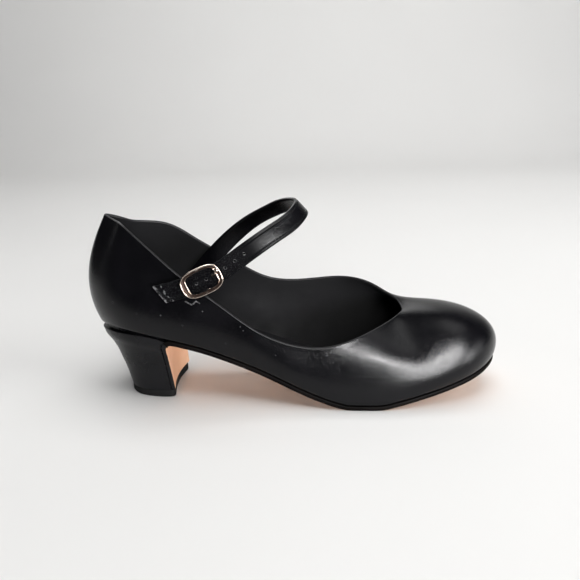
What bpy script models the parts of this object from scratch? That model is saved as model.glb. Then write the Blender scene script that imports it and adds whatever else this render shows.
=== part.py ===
"""Right dance shoe with a covered heel and a buckled instep strap.

Metres, +Z up, toe toward +X, outer (buckle) side toward -Y, standing on z = 0.
Every curved piece is worked out from the driving sizes and the short tables below.
"""
import math
from collections import namedtuple

import bmesh
import bpy
import numpy as np
from mathutils import Vector

MM = 0.001

# Driving sizes in millimetres
SHOE_LENGTH = 240.0
BALL_HALF = 36.0
SEAT_HEIGHT = 44.6
COLLAR_HEIGHT = 107.0
SEAM_GAP = 0.3
PLACE = (0.37, 0.73, 0.0)

# Upper and insole
WALL = 1.8
FEATHER_ROUND = 2.6
LASTING_MARGIN = 8.0
RIM_SWELL = 0.6
TOP_SPREAD = 20.0
INSOLE_INSET = 3.4
INSOLE_THICKNESS = 1.5

# Outsole sheet and its turn down the heel breast
SOLE_THICKNESS = 2.4
SOLE_INSET = 0.5
TIP_CUT = 0.15
TOE_REACH = 32.0
TURN_X = -74.0
TURN_LEG = 7.0
BREAST_FOOT_X = -71.8
BREAST_HOLLOW = 2.6
HOLLOW_SPAN = 0.6

# Heel block and top lift
LIFT_THICKNESS = 4.6
LIFT_BACK_X = -99.6
LIFT_HALF = 19.4
LIFT_SQUARENESS = 2.7
HEEL_INSET = 0.3
HEEL_LIP = 0.4

# Strap
STRAP_WIDTH = 10.8
STRAP_THICKNESS = 2.0
STRAP_CORNER = 0.45
INSTEP_CENTRE = (-42.0, 0.0, 67.0)
QUARTER_TOP = 72.0
INSTEP_TOP = 102.0
QUARTER_TILT = 0.08
BUCKLE_FROM_END = 25.3
END_SKEW = 2.3
END_SKEW_SPAN = 14.0
HOLE_PITCH = 6.0
HOLE_RADIUS = 1.1
FIRST_HOLE = -3.6
HOLE_COUNT = 6
PRONG_HOLE = 2
PRONG_HOLE_STRETCH = 1.5
PRONG_HOLE_BACK = 0.6
PRONG_HOLE_WIDEN = 0.25

# Buckle
FRAME_HALF_LENGTH = 10.7
FRAME_HALF_WIDTH = 6.3
FRAME_SQUARENESS = 3.0
FRAME_WIRE_WIDE = 1.25
FRAME_WIRE_DEEP = 1.0
FRAME_CLEARANCE = 0.55
BAR_RADIUS = 0.8
BAR_FLATNESS = 0.75
BAR_OVERHANG = 0.3
BAR_DEPTH = -3.4
TAB_WIDTH = 8.6
TAB_THICKNESS = 1.2
TAB_SLOT = 3.2
TAB_SLOT_REACH = 3.4
TAB_SLOT_FLOOR = -7.0
TAB_SLOT_ROOF = -0.5

# Mesh fineness
RING_COUNT = 92
WALL_ROWS = 10
FEATHER_STEPS = (0.33, 0.67)
OUTLINE_SAMPLES = 600
INSOLE_STATIONS = 40
INSOLE_COLUMNS = 7
TOE_STATIONS = 12
SHANK_STATIONS = 42
TURN_STATIONS = 8
BREAST_STATIONS = 8
SOLE_COLUMNS = 9
HEEL_TURN_LEVELS = 5
HEEL_BREAST_LEVELS = 6
HEEL_SIDE_COLUMNS = 12
HEEL_FRONT_COLUMNS = 9
STRAP_STATIONS = 64
TANGENT_REACH = 0.2
HOLE_SIDES = 12
FRAME_STATIONS = 40
WIRE_SIDES = 8
PRONG_STATIONS = 26
SHARP_DEGREES = 40.0

# Sole line under the upper: share of length from the back, height as a share of the seat height
SoleRow = namedtuple("SoleRow", "along height")
SOLE_LINE = (
    SoleRow(0.012, 0.962),
    SoleRow(0.063, 1.000),
    SoleRow(0.104, 0.991),
    SoleRow(0.146, 0.951),
    SoleRow(0.196, 0.888),
    SoleRow(0.242, 0.827),
    SoleRow(0.288, 0.756),
    SoleRow(0.333, 0.670),
    SoleRow(0.383, 0.570),
    SoleRow(0.429, 0.473),
    SoleRow(0.475, 0.365),
    SoleRow(0.521, 0.253),
    SoleRow(0.567, 0.155),
    SoleRow(0.608, 0.084),
    SoleRow(0.638, 0.05381),
    SoleRow(0.704, 0.05381),
    SoleRow(0.750, 0.099),
    SoleRow(0.800, 0.156),
    SoleRow(0.846, 0.211),
    SoleRow(0.892, 0.284),
    SoleRow(0.942, 0.370),
    SoleRow(0.996, 0.452),
)

# Sections of the upper from the back seam to the toe.
# along: share of length; outer and inner: share of the ball half breadth;
# lift: share of the collar height; lean and slope: degrees; rise and reach: share of the chord
UpperRow = namedtuple(
    "UpperRow",
    "base_along base_outer base_inner top_along top_outer top_inner"
    " lift_outer lift_inner lean rise slope_outer slope_inner reach",
)
UPPER_SECTIONS = (
    UpperRow(0.0235, 0.000, 0.000, 0.061, 0.000, 0.000, 1.001, 1.001, 20, 0.37, 60, 60, 0.41),
    UpperRow(0.043, 0.320, 0.320, 0.090, 0.145, 0.143, 0.975, 0.977, 19, 0.37, 62, 62, 0.41),
    UpperRow(0.0825, 0.544, 0.544, 0.112, 0.331, 0.297, 0.969, 0.946, 17, 0.37, 67, 67, 0.38),
    UpperRow(0.151, 0.689, 0.678, 0.178, 0.534, 0.534, 0.857, 0.913, 14, 0.37, 74, 74, 0.36),
    UpperRow(0.242, 0.717, 0.667, 0.254, 0.656, 0.633, 0.709, 0.811, 13, 0.36, 79, 79, 0.35),
    UpperRow(0.342, 0.731, 0.600, 0.344, 0.722, 0.674, 0.552, 0.678, 11, 0.36, 82, 84, 0.35),
    UpperRow(0.442, 0.811, 0.631, 0.439, 0.789, 0.706, 0.402, 0.558, 10, 0.36, 79, 84, 0.35),
    UpperRow(0.542, 0.925, 0.764, 0.546, 0.815, 0.736, 0.329, 0.543, 5.5, 0.357, 76, 82, 0.342),
    UpperRow(0.650, 1.006, 0.917, 0.627, 0.763, 0.714, 0.348, 0.556, -0.5, 0.347, 59.6, 74, 0.322),
    UpperRow(0.758, 0.978, 0.944, 0.693, 0.586, 0.563, 0.393, 0.541, 5.2, 0.356, 44.3, 52, 0.38),
    UpperRow(0.860, 0.817, 0.828, 0.740, 0.343, 0.377, 0.421, 0.497, 19.0, 0.321, 39.0, 27, 0.416),
    UpperRow(0.954, 0.534, 0.553, 0.766, 0.124, 0.199, 0.441, 0.468, 12.6, 0.3, 1.4, 1.4, 0.606),
    UpperRow(0.9975, -0.042, 0.042, 0.772, -0.014, 0.014, 0.449, 0.449, 13.3, 0.29, -8.2, -8.2, 0.59),
)

# Growth of the heel from the top lift to the seat: share of height, share of the way out
FlareRow = namedtuple("FlareRow", "height out")
HEEL_FLARE = (
    FlareRow(0.00, 0.00),
    FlareRow(0.27, 0.17),
    FlareRow(0.45, 0.33),
    FlareRow(0.61, 0.48),
    FlareRow(0.75, 0.68),
    FlareRow(0.88, 0.92),
    FlareRow(1.00, 1.00),
)

# Middle line of the strap from its free end on the outer quarter to its sewn end inside
StrapRow = namedtuple("StrapRow", "x y z")
STRAP_LINE = (
    StrapRow(-69.5, -29.5, 68.4),
    StrapRow(-59.0, -28.9, 71.0),
    StrapRow(-46.0, -28.8, 75.6),
    StrapRow(-34.0, -28.2, 81.8),
    StrapRow(-25.0, -26.0, 87.6),
    StrapRow(-16.0, -21.9, 93.2),
    StrapRow(-6.0, -16.3, 98.8),
    StrapRow(2.0, -9.8, 103.2),
    StrapRow(6.8, -1.6, 107.6),
    StrapRow(6.0, 7.0, 108.6),
    StrapRow(-1.0, 14.6, 107.8),
    StrapRow(-11.0, 19.2, 103.6),
    StrapRow(-22.0, 21.4, 97.8),
    StrapRow(-33.0, 21.4, 90.0),
    StrapRow(-43.0, 20.6, 81.0),
    StrapRow(-52.0, 20.1, 71.6),
    StrapRow(-60.0, 21.4, 62.4),
)

# Prong from its hook under the centre bar to its tip, along and out from the strap's middle
ProngRow = namedtuple("ProngRow", "along out radius")
PRONG_LINE = (
    ProngRow(-1.7, -3.4, 0.55),
    ProngRow(-1.2, -4.6, 0.60),
    ProngRow(0.0, -5.1, 0.60),
    ProngRow(1.6, -4.7, 0.60),
    ProngRow(4.0, -3.2, 0.60),
    ProngRow(6.2, -1.5, 0.60),
    ProngRow(7.6, 0.6, 0.60),
    ProngRow(8.3, 2.4, 0.60),
    ProngRow(9.1, 3.9, 0.60),
    ProngRow(10.2, 4.45, 0.60),
    ProngRow(11.4, 4.42, 0.45),
)

# Tab from its sewn end on the quarter to its turn round the bar, along and out from the buckle
TabRow = namedtuple("TabRow", "along out")
TAB_LINE = (
    TabRow(-17.0, -1.95),
    TabRow(-12.0, -1.92),
    TabRow(-7.0, -1.90),
    TabRow(-2.5, -1.90),
    TabRow(0.0, -1.90),
    TabRow(1.2, -2.35),
    TabRow(1.75, -3.40),
    TabRow(1.2, -4.45),
    TabRow(0.0, -4.90),
    TabRow(-1.8, -4.90),
)


def monotone_curve(knots, values):
    """Return a function that joins the knots by cubic arcs without overshoot."""
    knots = np.asarray(knots, float)
    values = np.asarray(values, float)
    step = np.diff(knots)
    secant = np.diff(values) / step
    slope = np.zeros(len(knots))
    for i in range(1, len(knots) - 1):
        if secant[i - 1] * secant[i] > 0.0:
            before = 2.0 * step[i] + step[i - 1]
            after = step[i] + 2.0 * step[i - 1]
            slope[i] = (before + after) / (before / secant[i - 1] + after / secant[i])
    slope[0] = secant[0]
    slope[-1] = secant[-1]

    def curve(at):
        at = np.asarray(at, float)
        index = np.clip(np.searchsorted(knots, at) - 1, 0, len(step) - 1)
        share = (at - knots[index]) / step[index]
        inside = np.clip(share, 0.0, 1.0)
        rise_start = (1.0 + 2.0 * inside) * (1.0 - inside) ** 2
        rise_end = inside * inside * (3.0 - 2.0 * inside)
        lean_start = inside * (1.0 - inside) ** 2
        lean_end = inside * inside * (inside - 1.0)
        result = rise_start * values[index] + rise_end * values[index + 1]
        result = result + step[index] * (lean_start * slope[index] + lean_end * slope[index + 1])
        beyond = (share - inside) * step[index]
        return result + beyond * np.where(share > 1.0, slope[-1], slope[0])

    return curve


def spline_moments(knots, values, closed):
    """Second derivatives of the smooth curve through the knots, closed or with free ends."""
    count = len(values) - 1 if closed else len(values)
    step = np.diff(knots)
    matrix = np.zeros((count, count))
    right = np.zeros((count, values.shape[1]))
    for i in range(count):
        if not closed and i in (0, count - 1):
            matrix[i, i] = 1.0
            continue
        before = step[i - 1]
        after = step[i]
        matrix[i, (i - 1) % count] += before / 6.0
        matrix[i, i] += (before + after) / 3.0
        matrix[i, (i + 1) % count] += after / 6.0
        ahead = (values[i + 1] - values[i]) / after
        behind = (values[i] - values[i - 1 if i > 0 else count - 1]) / before
        right[i] = ahead - behind
    moments = np.linalg.solve(matrix, right)
    return np.vstack([moments, moments[:1]]) if closed else moments


def smooth_curve(knots, values, closed):
    """Return a twice smooth function through rows of values; a closed one repeats its first row."""
    knots = np.asarray(knots, float)
    values = np.asarray(values, float)
    moments = spline_moments(knots, values, closed)
    step = np.diff(knots)

    def curve(at):
        at = np.asarray(at, float)
        index = np.clip(np.searchsorted(knots, at, side="right") - 1, 0, len(step) - 1)
        wide = step[index][:, None]
        ahead = ((knots[index + 1] - at) / step[index])[:, None]
        behind = 1.0 - ahead
        line = ahead * values[index] + behind * values[index + 1]
        bend = (ahead ** 3 - ahead) * moments[index] + (behind ** 3 - behind) * moments[index + 1]
        return line + bend * wide * wide / 6.0

    return curve


def along_to_x(along):
    """Millimetres from the middle of the shoe for a share of its length from the back."""
    return (np.asarray(along, float) - 0.5) * SHOE_LENGTH


sole_line = monotone_curve(
    [float(along_to_x(row.along)) for row in SOLE_LINE],
    [row.height * SEAT_HEIGHT for row in SOLE_LINE],
)
heel_flare = monotone_curve([row.height for row in HEEL_FLARE], [row.out for row in HEEL_FLARE])


def unit_rows(rows):
    """Scale each row of an array to length one."""
    return rows / np.linalg.norm(rows, axis=-1, keepdims=True)


def upper_ring_rows():
    """Rows of the closed ring of sections: back, outer side, toe, inner side, back again."""
    rows = []
    for row in UPPER_SECTIONS:
        rows.append((row.base_along, -row.base_outer, row.top_along, -row.top_outer,
                     row.lift_outer, row.lean, row.rise, row.slope_outer, row.reach))
    for row in reversed(UPPER_SECTIONS[:-1]):
        rows.append((row.base_along, row.base_inner, row.top_along, row.top_inner,
                     row.lift_inner, row.lean, row.rise, row.slope_inner, row.reach))
    table = np.array(rows, float)
    scaled = np.empty_like(table)
    scaled[:, 0] = along_to_x(table[:, 0])
    scaled[:, 1] = table[:, 1] * BALL_HALF
    scaled[:, 2] = along_to_x(table[:, 2])
    scaled[:, 3] = table[:, 3] * BALL_HALF
    scaled[:, 4] = table[:, 4] * COLLAR_HEIGHT
    scaled[:, 5] = np.radians(table[:, 5])
    scaled[:, 6] = table[:, 6]
    scaled[:, 7] = np.radians(table[:, 7])
    scaled[:, 8] = table[:, 8]
    return scaled


def upper_ring_curve():
    """Smooth closed curve through the sections, spaced by the distance between them."""
    rows = upper_ring_rows()
    base_step = np.linalg.norm(np.diff(rows[:, 0:2], axis=0), axis=1)
    top_step = np.linalg.norm(np.diff(rows[:, 2:5], axis=0), axis=1)
    knots = np.concatenate([[0.0], np.cumsum(0.5 * (base_step + top_step))])
    return smooth_curve(knots / knots[-1], rows, closed=True)


ring_curve = upper_ring_curve()


def feather_ring(count):
    """Plan points of the feather line and their outward plan directions."""
    at = np.arange(count) / count
    reach = 1.0e-4
    ahead = ring_curve((at + reach) % 1.0)[:, 0:2]
    behind = ring_curve((at - reach) % 1.0)[:, 0:2]
    along = unit_rows(ahead - behind)
    outward = np.stack([along[:, 1], -along[:, 0]], axis=1)
    return ring_curve(at), outward


def on_sole(plan, above):
    """Points over the sole line at plan positions."""
    return np.column_stack([plan, sole_line(plan[:, 0]) + above])


def upper_outer_rows(count, wall_rows):
    """Rows of outer points from the inner edge of the lasting margin up to the topline."""
    ring, outward = feather_ring(count)
    plan = ring[:, 0:2]
    flat_outward = np.column_stack([outward, np.zeros(count)])
    up = np.array([0.0, 0.0, 1.0])
    foot = on_sole(plan, SEAM_GAP)
    top = np.column_stack([ring[:, 2:4], ring[:, 4]])
    lean = ring[:, 5][:, None]
    wall_way = np.sin(lean) * flat_outward + np.cos(lean) * up
    chord = np.linalg.norm(top - foot, axis=1)[:, None]

    rows = [on_sole(plan - LASTING_MARGIN * outward, SEAM_GAP)]
    rows.append(on_sole(plan - 0.5 * (LASTING_MARGIN + FEATHER_ROUND) * outward, SEAM_GAP))
    under = on_sole(plan - FEATHER_ROUND * outward, SEAM_GAP)
    start = foot + FEATHER_ROUND * wall_way
    rows.append(under)
    for share in FEATHER_STEPS:
        rows.append((1 - share) ** 2 * under + 2 * share * (1 - share) * foot + share ** 2 * start)

    spread = (foot - top) * np.array([1.0, 1.0, 0.0]) + TOP_SPREAD * flat_outward
    spread = unit_rows(spread)
    slope = ring[:, 7][:, None]
    top_way = np.cos(slope) * spread - np.sin(slope) * up
    low = start + ring[:, 6][:, None] * chord * wall_way
    high = top + ring[:, 8][:, None] * chord * top_way
    for i in range(wall_rows + 1):
        share = i / wall_rows
        left = 1.0 - share
        rows.append(left ** 3 * start + 3 * left * left * share * low
                    + 3 * left * share * share * high + share ** 3 * top)
    return np.array(rows)


def row_normals(rows):
    """Outward directions of a grid of rows that close on themselves."""
    around = np.roll(rows, -1, axis=1) - np.roll(rows, 1, axis=1)
    up = np.gradient(rows, axis=0)
    return unit_rows(np.cross(around, up))


def upper_shell():
    """Vertices and faces of the hollow upper with its lasting margin and rounded rim."""
    outer = upper_outer_rows(RING_COUNT, WALL_ROWS)
    normals = row_normals(outer)
    inner = outer - WALL * normals
    crest_way = unit_rows(outer[-1] - outer[-2])
    crest = 0.5 * (outer[-1] + inner[-1]) + RIM_SWELL * crest_way
    loop_rows = np.concatenate([outer, crest[None], inner[::-1]])
    return ring_mesh(loop_rows)


def ring_mesh(loop_rows):
    """Closed mesh from rows that close around and join from the last row to the first."""
    rows, count = loop_rows.shape[0], loop_rows.shape[1]
    faces = []
    for i in range(rows):
        nxt = (i + 1) % rows
        for j in range(count):
            k = (j + 1) % count
            faces.append((i * count + j, i * count + k, nxt * count + k, nxt * count + j))
    return loop_rows.reshape(-1, 3), faces


def half_breadths(inset):
    """Functions of x for the outer and inner edges of the feather outline set in by a little."""
    ring, outward = feather_ring(OUTLINE_SAMPLES)
    plan = ring[:, 0:2] - inset * outward
    front = int(np.argmax(plan[:, 0]))
    back = int(np.argmin(plan[:, 0]))
    order = np.roll(plan, -back, axis=0)
    front = (front - back) % len(plan)
    outer = order[:front + 1]
    inner = np.vstack([order[front:], order[:1]])[::-1]
    span = (outer[0, 0], outer[-1, 0])

    def edge(side):
        return lambda x: np.interp(x, side[:, 0], side[:, 1])

    return edge(outer), edge(inner), span


def sheet_mesh(lower, upper):
    """Closed mesh between two equal grids, lower and upper, of rows and columns of points."""
    rows, columns = lower.shape[0], lower.shape[1]
    vertices = np.vstack([lower.reshape(-1, 3), upper.reshape(-1, 3)])
    shift = rows * columns
    faces = []
    for i in range(rows - 1):
        for j in range(columns - 1):
            a, b = i * columns + j, i * columns + j + 1
            c, d = (i + 1) * columns + j + 1, (i + 1) * columns + j
            faces.append((a, d, c, b))
            faces.append((a + shift, b + shift, c + shift, d + shift))
    border = [(0, j) for j in range(columns - 1)]
    border += [(i, columns - 1) for i in range(rows - 1)]
    border += [(rows - 1, j) for j in range(columns - 1, 0, -1)]
    border += [(i, 0) for i in range(rows - 1, 0, -1)]
    ids = [i * columns + j for i, j in border]
    for a, b in zip(ids, ids[1:] + ids[:1]):
        faces.append((a, b, b + shift, a + shift))
    return vertices, faces


def cosine_steps(start, end, count):
    """Steps from start to end, close together at both ends."""
    turn = np.linspace(0.0, math.pi, count)
    return start + (end - start) * 0.5 * (1.0 - np.cos(turn))


def insole_sheet():
    """Vertices and faces of the insole over the lasting margin."""
    outer, inner, span = half_breadths(INSOLE_INSET)
    stations = cosine_steps(span[0] + TIP_CUT, span[1] - TIP_CUT, INSOLE_STATIONS)
    floor = WALL + 2.0 * SEAM_GAP
    shares = np.linspace(0.0, 1.0, INSOLE_COLUMNS)
    low = []
    for x in stations:
        y = outer(x) + (inner(x) - outer(x)) * shares
        low.append(on_sole(np.column_stack([np.full(INSOLE_COLUMNS, x), y]), floor))
    low = np.array(low)
    high = low + np.array([0.0, 0.0, INSOLE_THICKNESS])
    return sheet_mesh(low, high)


def breast_turn(share):
    """Point of the sheet's upper line where it turns from the shank down the heel breast."""
    corner = np.array([TURN_X, float(sole_line(TURN_X))])
    start_x = TURN_X + TURN_LEG
    start = np.array([start_x, float(sole_line(start_x))])
    end = corner - np.array([0.0, TURN_LEG])
    return (1 - share) ** 2 * start + 2 * share * (1 - share) * corner + share ** 2 * end


def breast_line(height):
    """Place of the sheet's back face on the heel breast at a height."""
    top = breast_turn(1.0)
    share = (height - LIFT_THICKNESS) / (top[1] - LIFT_THICKNESS)
    return BREAST_FOOT_X + (top[0] - BREAST_FOOT_X) * share


def breast_hollow(height):
    """Depth of the hollow across the breast, none at the turn and full at the foot."""
    top = breast_turn(1.0)[1]
    share = np.clip((top - height) / (HOLLOW_SPAN * (top - LIFT_THICKNESS)), 0.0, 1.0)
    return BREAST_HOLLOW * share * share * (3.0 - 2.0 * share)


def sole_profile():
    """Upper line of the sheet from the toe to the foot of the breast, as x and z."""
    tip = half_breadths(SOLE_INSET)[2][1] - TIP_CUT
    turns = np.linspace(0.0, 0.5 * math.pi, TOE_STATIONS)
    forward = tip - TOE_REACH * (1.0 - np.cos(turns))
    shank = np.linspace(forward[-1], TURN_X + TURN_LEG, SHANK_STATIONS)[1:-1]
    points = [(x, float(sole_line(x))) for x in np.concatenate([forward, shank])]
    points += [tuple(breast_turn(share)) for share in np.linspace(0.0, 1.0, TURN_STATIONS)]
    foot = LIFT_THICKNESS + SEAM_GAP
    for height in np.linspace(points[-1][1], foot, BREAST_STATIONS)[1:]:
        points.append((float(breast_line(height)), float(height)))
    return np.array(points)


def flap_halves(height):
    """Half breadths, outer and inner, of the flap and the heel front at a height."""
    outer, inner, _ = half_breadths(HEEL_INSET)
    share = (height - LIFT_THICKNESS) / (float(sole_line(TURN_X)) - LIFT_THICKNESS)
    grow = float(heel_flare(np.clip(share, 0.0, 1.0)))
    wide_outer, wide_inner = -float(outer(TURN_X)), float(inner(TURN_X))
    return (LIFT_HALF + (wide_outer - LIFT_HALF) * grow,
            LIFT_HALF + (wide_inner - LIFT_HALF) * grow)


def outsole_sheet():
    """Vertices and faces of the sheet from the toe over the shank and down the breast."""
    outer, inner, _ = half_breadths(SOLE_INSET)
    profile = sole_profile()
    along = unit_rows(np.gradient(profile, axis=0))
    outward = np.stack([-along[:, 1], along[:, 0]], axis=1)
    shares = np.linspace(0.0, 1.0, SOLE_COLUMNS)
    across = 2.0 * shares - 1.0
    near, far = [], []
    for (x, z), (nx, nz) in zip(profile, outward):
        if z < sole_line(TURN_X) and x < TURN_X + TURN_LEG:
            low_outer, low_inner = flap_halves(z)
            y = -low_outer + (low_outer + low_inner) * shares
            bend = breast_hollow(z) * (1.0 - across * across)
        else:
            y = outer(x) + (inner(x) - outer(x)) * shares
            bend = np.zeros(len(shares))
        near.append(np.column_stack([x - bend, y, np.full(len(shares), z)]))
        shift = np.array([nx, 0.0, nz]) * SOLE_THICKNESS
        far.append(near[-1] + shift)
    return sheet_mesh(np.array(far), np.array(near))


def heel_front_profile():
    """Heel front from its foot up the breast to the lip under the upper, as x and z."""
    foot = LIFT_THICKNESS + SEAM_GAP
    turn = [breast_turn(share) for share in np.linspace(1.0, HEEL_LIP, HEEL_TURN_LEVELS)]
    heights = np.linspace(foot, turn[0][1], HEEL_BREAST_LEVELS)[:-1]
    points = [(float(breast_line(height)), float(height)) for height in heights]
    points += [tuple(point) for point in turn]
    points = np.array(points)
    along = unit_rows(np.gradient(points, axis=0))
    inward = np.stack([-along[:, 1], along[:, 0]], axis=1)
    moved = points + SEAM_GAP * inward
    moved[0, 1] = foot
    return moved


def round_back():
    """Shares of the way back and of the half breadth round the back of the heel."""
    turns = np.linspace(0.0, 0.5 * math.pi, HEEL_SIDE_COLUMNS + 1)
    back_share = np.sin(turns) ** (2.0 / LIFT_SQUARENESS)
    wide_share = np.cos(turns) ** (2.0 / LIFT_SQUARENESS)
    wide_share[-1] = 0.0
    return back_share, wide_share


def heel_ring(x_front, z_front, front):
    """Ring of points round the heel at one level of its front, from the back by the outer side."""
    outer, inner, span = half_breadths(HEEL_INSET)
    foot, head = front[0, 1], front[-1, 1]
    top_front = front[-1, 0]
    share = (z_front - foot) / (head - foot)
    out = float(heel_flare(share))
    x_back = LIFT_BACK_X + (span[0] - LIFT_BACK_X) * out
    sides = []
    for back, wide in zip(*round_back()):
        top_x = top_front - (top_front - span[0]) * back
        top_z = float(sole_line(top_x)) - SEAM_GAP if back > 0.0 else head
        x = x_front - (x_front - x_back) * back
        z = foot + (top_z - foot) * share
        low_y = LIFT_HALF * wide
        top_outer = -float(outer(top_x)) if wide > 0.0 else 0.0
        top_inner = float(inner(top_x)) if wide > 0.0 else 0.0
        sides.append((x, low_y + (top_outer - low_y) * out, low_y + (top_inner - low_y) * out, z))
    hollow = breast_hollow(z_front)
    ring = [(x, -outer_y, z) for x, outer_y, _, z in sides[:0:-1]]
    for a in np.linspace(-1.0, 1.0, HEEL_FRONT_COLUMNS):
        y = a * (sides[0][1] if a < 0.0 else sides[0][2])
        ring.append((x_front - hollow * (1.0 - a * a), y, z_front))
    ring += [(x, inner_y, z) for x, _, inner_y, z in sides[1:-1]]
    return ring


def heel_block():
    """Vertices and faces of the flared heel between the top lift and the seat."""
    front = heel_front_profile()
    grid = np.array([heel_ring(x, z, front) for x, z in front])
    rows, count = grid.shape[0], grid.shape[1]
    faces = []
    for i in range(rows - 1):
        for j in range(count):
            k = (j + 1) % count
            faces.append((i * count + j, i * count + k, (i + 1) * count + k, (i + 1) * count + j))
    faces.append(tuple(range(count - 1, -1, -1)))
    top = (rows - 1) * count
    first_front = HEEL_SIDE_COLUMNS
    last_front = HEEL_SIDE_COLUMNS + HEEL_FRONT_COLUMNS - 1
    faces.append(tuple(top + j for j in range(first_front, last_front + 1))
                 + (top + last_front + 1, top + first_front - 1))
    for j in range(1, HEEL_SIDE_COLUMNS - 1):
        a, b = first_front - j, last_front + j
        faces.append((top + a, top + b, top + b + 1, top + a - 1))
    faces.append((top + 1, top + count - 1, top))
    return grid.reshape(-1, 3), faces


def lift_outline(back_x, half, front_x, hollow):
    """Plan ring of the top lift: round back, straight sides, hollow front."""
    back_share, wide_share = round_back()
    side_x = front_x - (front_x - back_x) * back_share
    ring = [(side_x[j], -half * wide_share[j]) for j in range(HEEL_SIDE_COLUMNS, 0, -1)]
    for a in np.linspace(-1.0, 1.0, HEEL_FRONT_COLUMNS):
        ring.append((front_x - hollow * (1.0 - a * a), a * half))
    ring += [(side_x[j], half * wide_share[j]) for j in range(1, HEEL_SIDE_COLUMNS)]
    return np.array(ring)


def top_lift_block():
    """Vertices and faces of the wearing piece under the heel."""
    front = BREAST_FOOT_X + SOLE_THICKNESS
    ring = lift_outline(LIFT_BACK_X, LIFT_HALF, front, BREAST_HOLLOW)
    count = len(ring)
    low = np.column_stack([ring, np.zeros(count)])
    high = np.column_stack([ring, np.full(count, LIFT_THICKNESS)])
    faces = [(j, (j + 1) % count, (j + 1) % count + count, j + count) for j in range(count)]
    faces.append(tuple(range(count - 1, -1, -1)))
    faces.append(tuple(range(count, 2 * count)))
    return np.vstack([low, high]), faces


def strap_curve():
    """Smooth middle line of the strap with its length in millimetres."""
    rows = np.array(STRAP_LINE, float)
    step = np.linalg.norm(np.diff(rows, axis=0), axis=1)
    knots = np.concatenate([[0.0], np.cumsum(step)])
    return smooth_curve(knots, rows, closed=False), float(knots[-1])


def strap_frame(at):
    """Points of the strap's middle line with its along, across and outward directions."""
    curve, length = strap_curve()
    at = np.asarray(at, float)
    point = curve(at)
    ahead = np.minimum(at + TANGENT_REACH, length)
    behind = np.maximum(at - TANGENT_REACH, 0.0)
    along = unit_rows(curve(ahead) - curve(behind))
    lift = np.clip((point[:, 2] - QUARTER_TOP) / (INSTEP_TOP - QUARTER_TOP), 0.0, 1.0)
    away = point - np.array(INSTEP_CENTRE)
    away[:, 0] *= lift
    away[:, 2] = away[:, 2] * lift + QUARTER_TILT * np.abs(away[:, 1])
    out = unit_rows(away)
    out = unit_rows(out - np.sum(out * along, axis=1)[:, None] * along)
    across = np.cross(out, along)
    return point, along, across, out


def strap_band():
    """Vertices and faces of the strap without its holes."""
    _, length = strap_curve()
    stations = np.linspace(0.0, length, STRAP_STATIONS)
    point, along, across, out = strap_frame(stations)
    wide, deep, cut = 0.5 * STRAP_WIDTH, 0.5 * STRAP_THICKNESS, STRAP_CORNER
    section = ((-wide, -deep + cut), (-wide + cut, -deep), (wide - cut, -deep), (wide, -deep + cut),
               (wide, deep - cut), (wide - cut, deep), (-wide + cut, deep), (-wide, deep - cut))
    rows = []
    for at, p, t, w, n in zip(stations, point, along, across, out):
        skew = END_SKEW * max(0.0, 1.0 - at / END_SKEW_SPAN)
        rows.append([p + a * w + b * n - skew * a / wide * t for a, b in section])
    return tube_mesh(np.array(rows), closed=False)


def tube_mesh(rows, closed):
    """Closed mesh through rings of points, capped at both ends or joined end to end."""
    count = rows.shape[1]
    faces = []
    last = rows.shape[0] if closed else rows.shape[0] - 1
    for i in range(last):
        nxt = (i + 1) % rows.shape[0]
        for j in range(count):
            k = (j + 1) % count
            faces.append((i * count + j, i * count + k, nxt * count + k, nxt * count + j))
    if not closed:
        faces.append(tuple(range(count - 1, -1, -1)))
        start = (rows.shape[0] - 1) * count
        faces.append(tuple(range(start, start + count)))
    return rows.reshape(-1, 3), faces


def buckle_place():
    """Middle of the strap under the buckle and its three directions."""
    point, along, across, out = strap_frame([BUCKLE_FROM_END])
    return point[0], along[0], across[0], out[0]


def buckle_point(along_by, across_by, out_by):
    """Point at distances along, across and out from the strap's middle under the buckle."""
    point, along, across, out = buckle_place()
    return point + along_by * along + across_by * across + out_by * out


def hole_cutters():
    """Vertices and faces of the round cutters for the strap holes, the prong's one stretched."""
    vertices, faces = [], []
    for index in range(HOLE_COUNT):
        at = BUCKLE_FROM_END + FIRST_HOLE + index * HOLE_PITCH
        point, along, across, out = (item[0] for item in strap_frame([at]))
        stretch, widen = HOLE_RADIUS, HOLE_RADIUS
        if index == PRONG_HOLE:
            stretch = HOLE_RADIUS + PRONG_HOLE_STRETCH
            widen = HOLE_RADIUS + PRONG_HOLE_WIDEN
            point = point - PRONG_HOLE_BACK * along
        rows = []
        for depth in (-STRAP_THICKNESS, STRAP_THICKNESS):
            ring = []
            for turn in np.linspace(0.0, 2.0 * math.pi, HOLE_SIDES + 1)[:-1]:
                sweep = stretch * math.cos(turn) * along + widen * math.sin(turn) * across
                ring.append(point + sweep + depth * out)
            rows.append(ring)
        ring_vertices, ring_faces = tube_mesh(np.array(rows), closed=False)
        shift = len(vertices)
        vertices.extend(ring_vertices)
        faces.extend(tuple(v + shift for v in face) for face in ring_faces)
    return np.array(vertices), faces


def frame_level():
    """Height of the middle of the frame's wire over the strap's middle line."""
    return 0.5 * STRAP_THICKNESS + FRAME_CLEARANCE + FRAME_WIRE_DEEP


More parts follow.
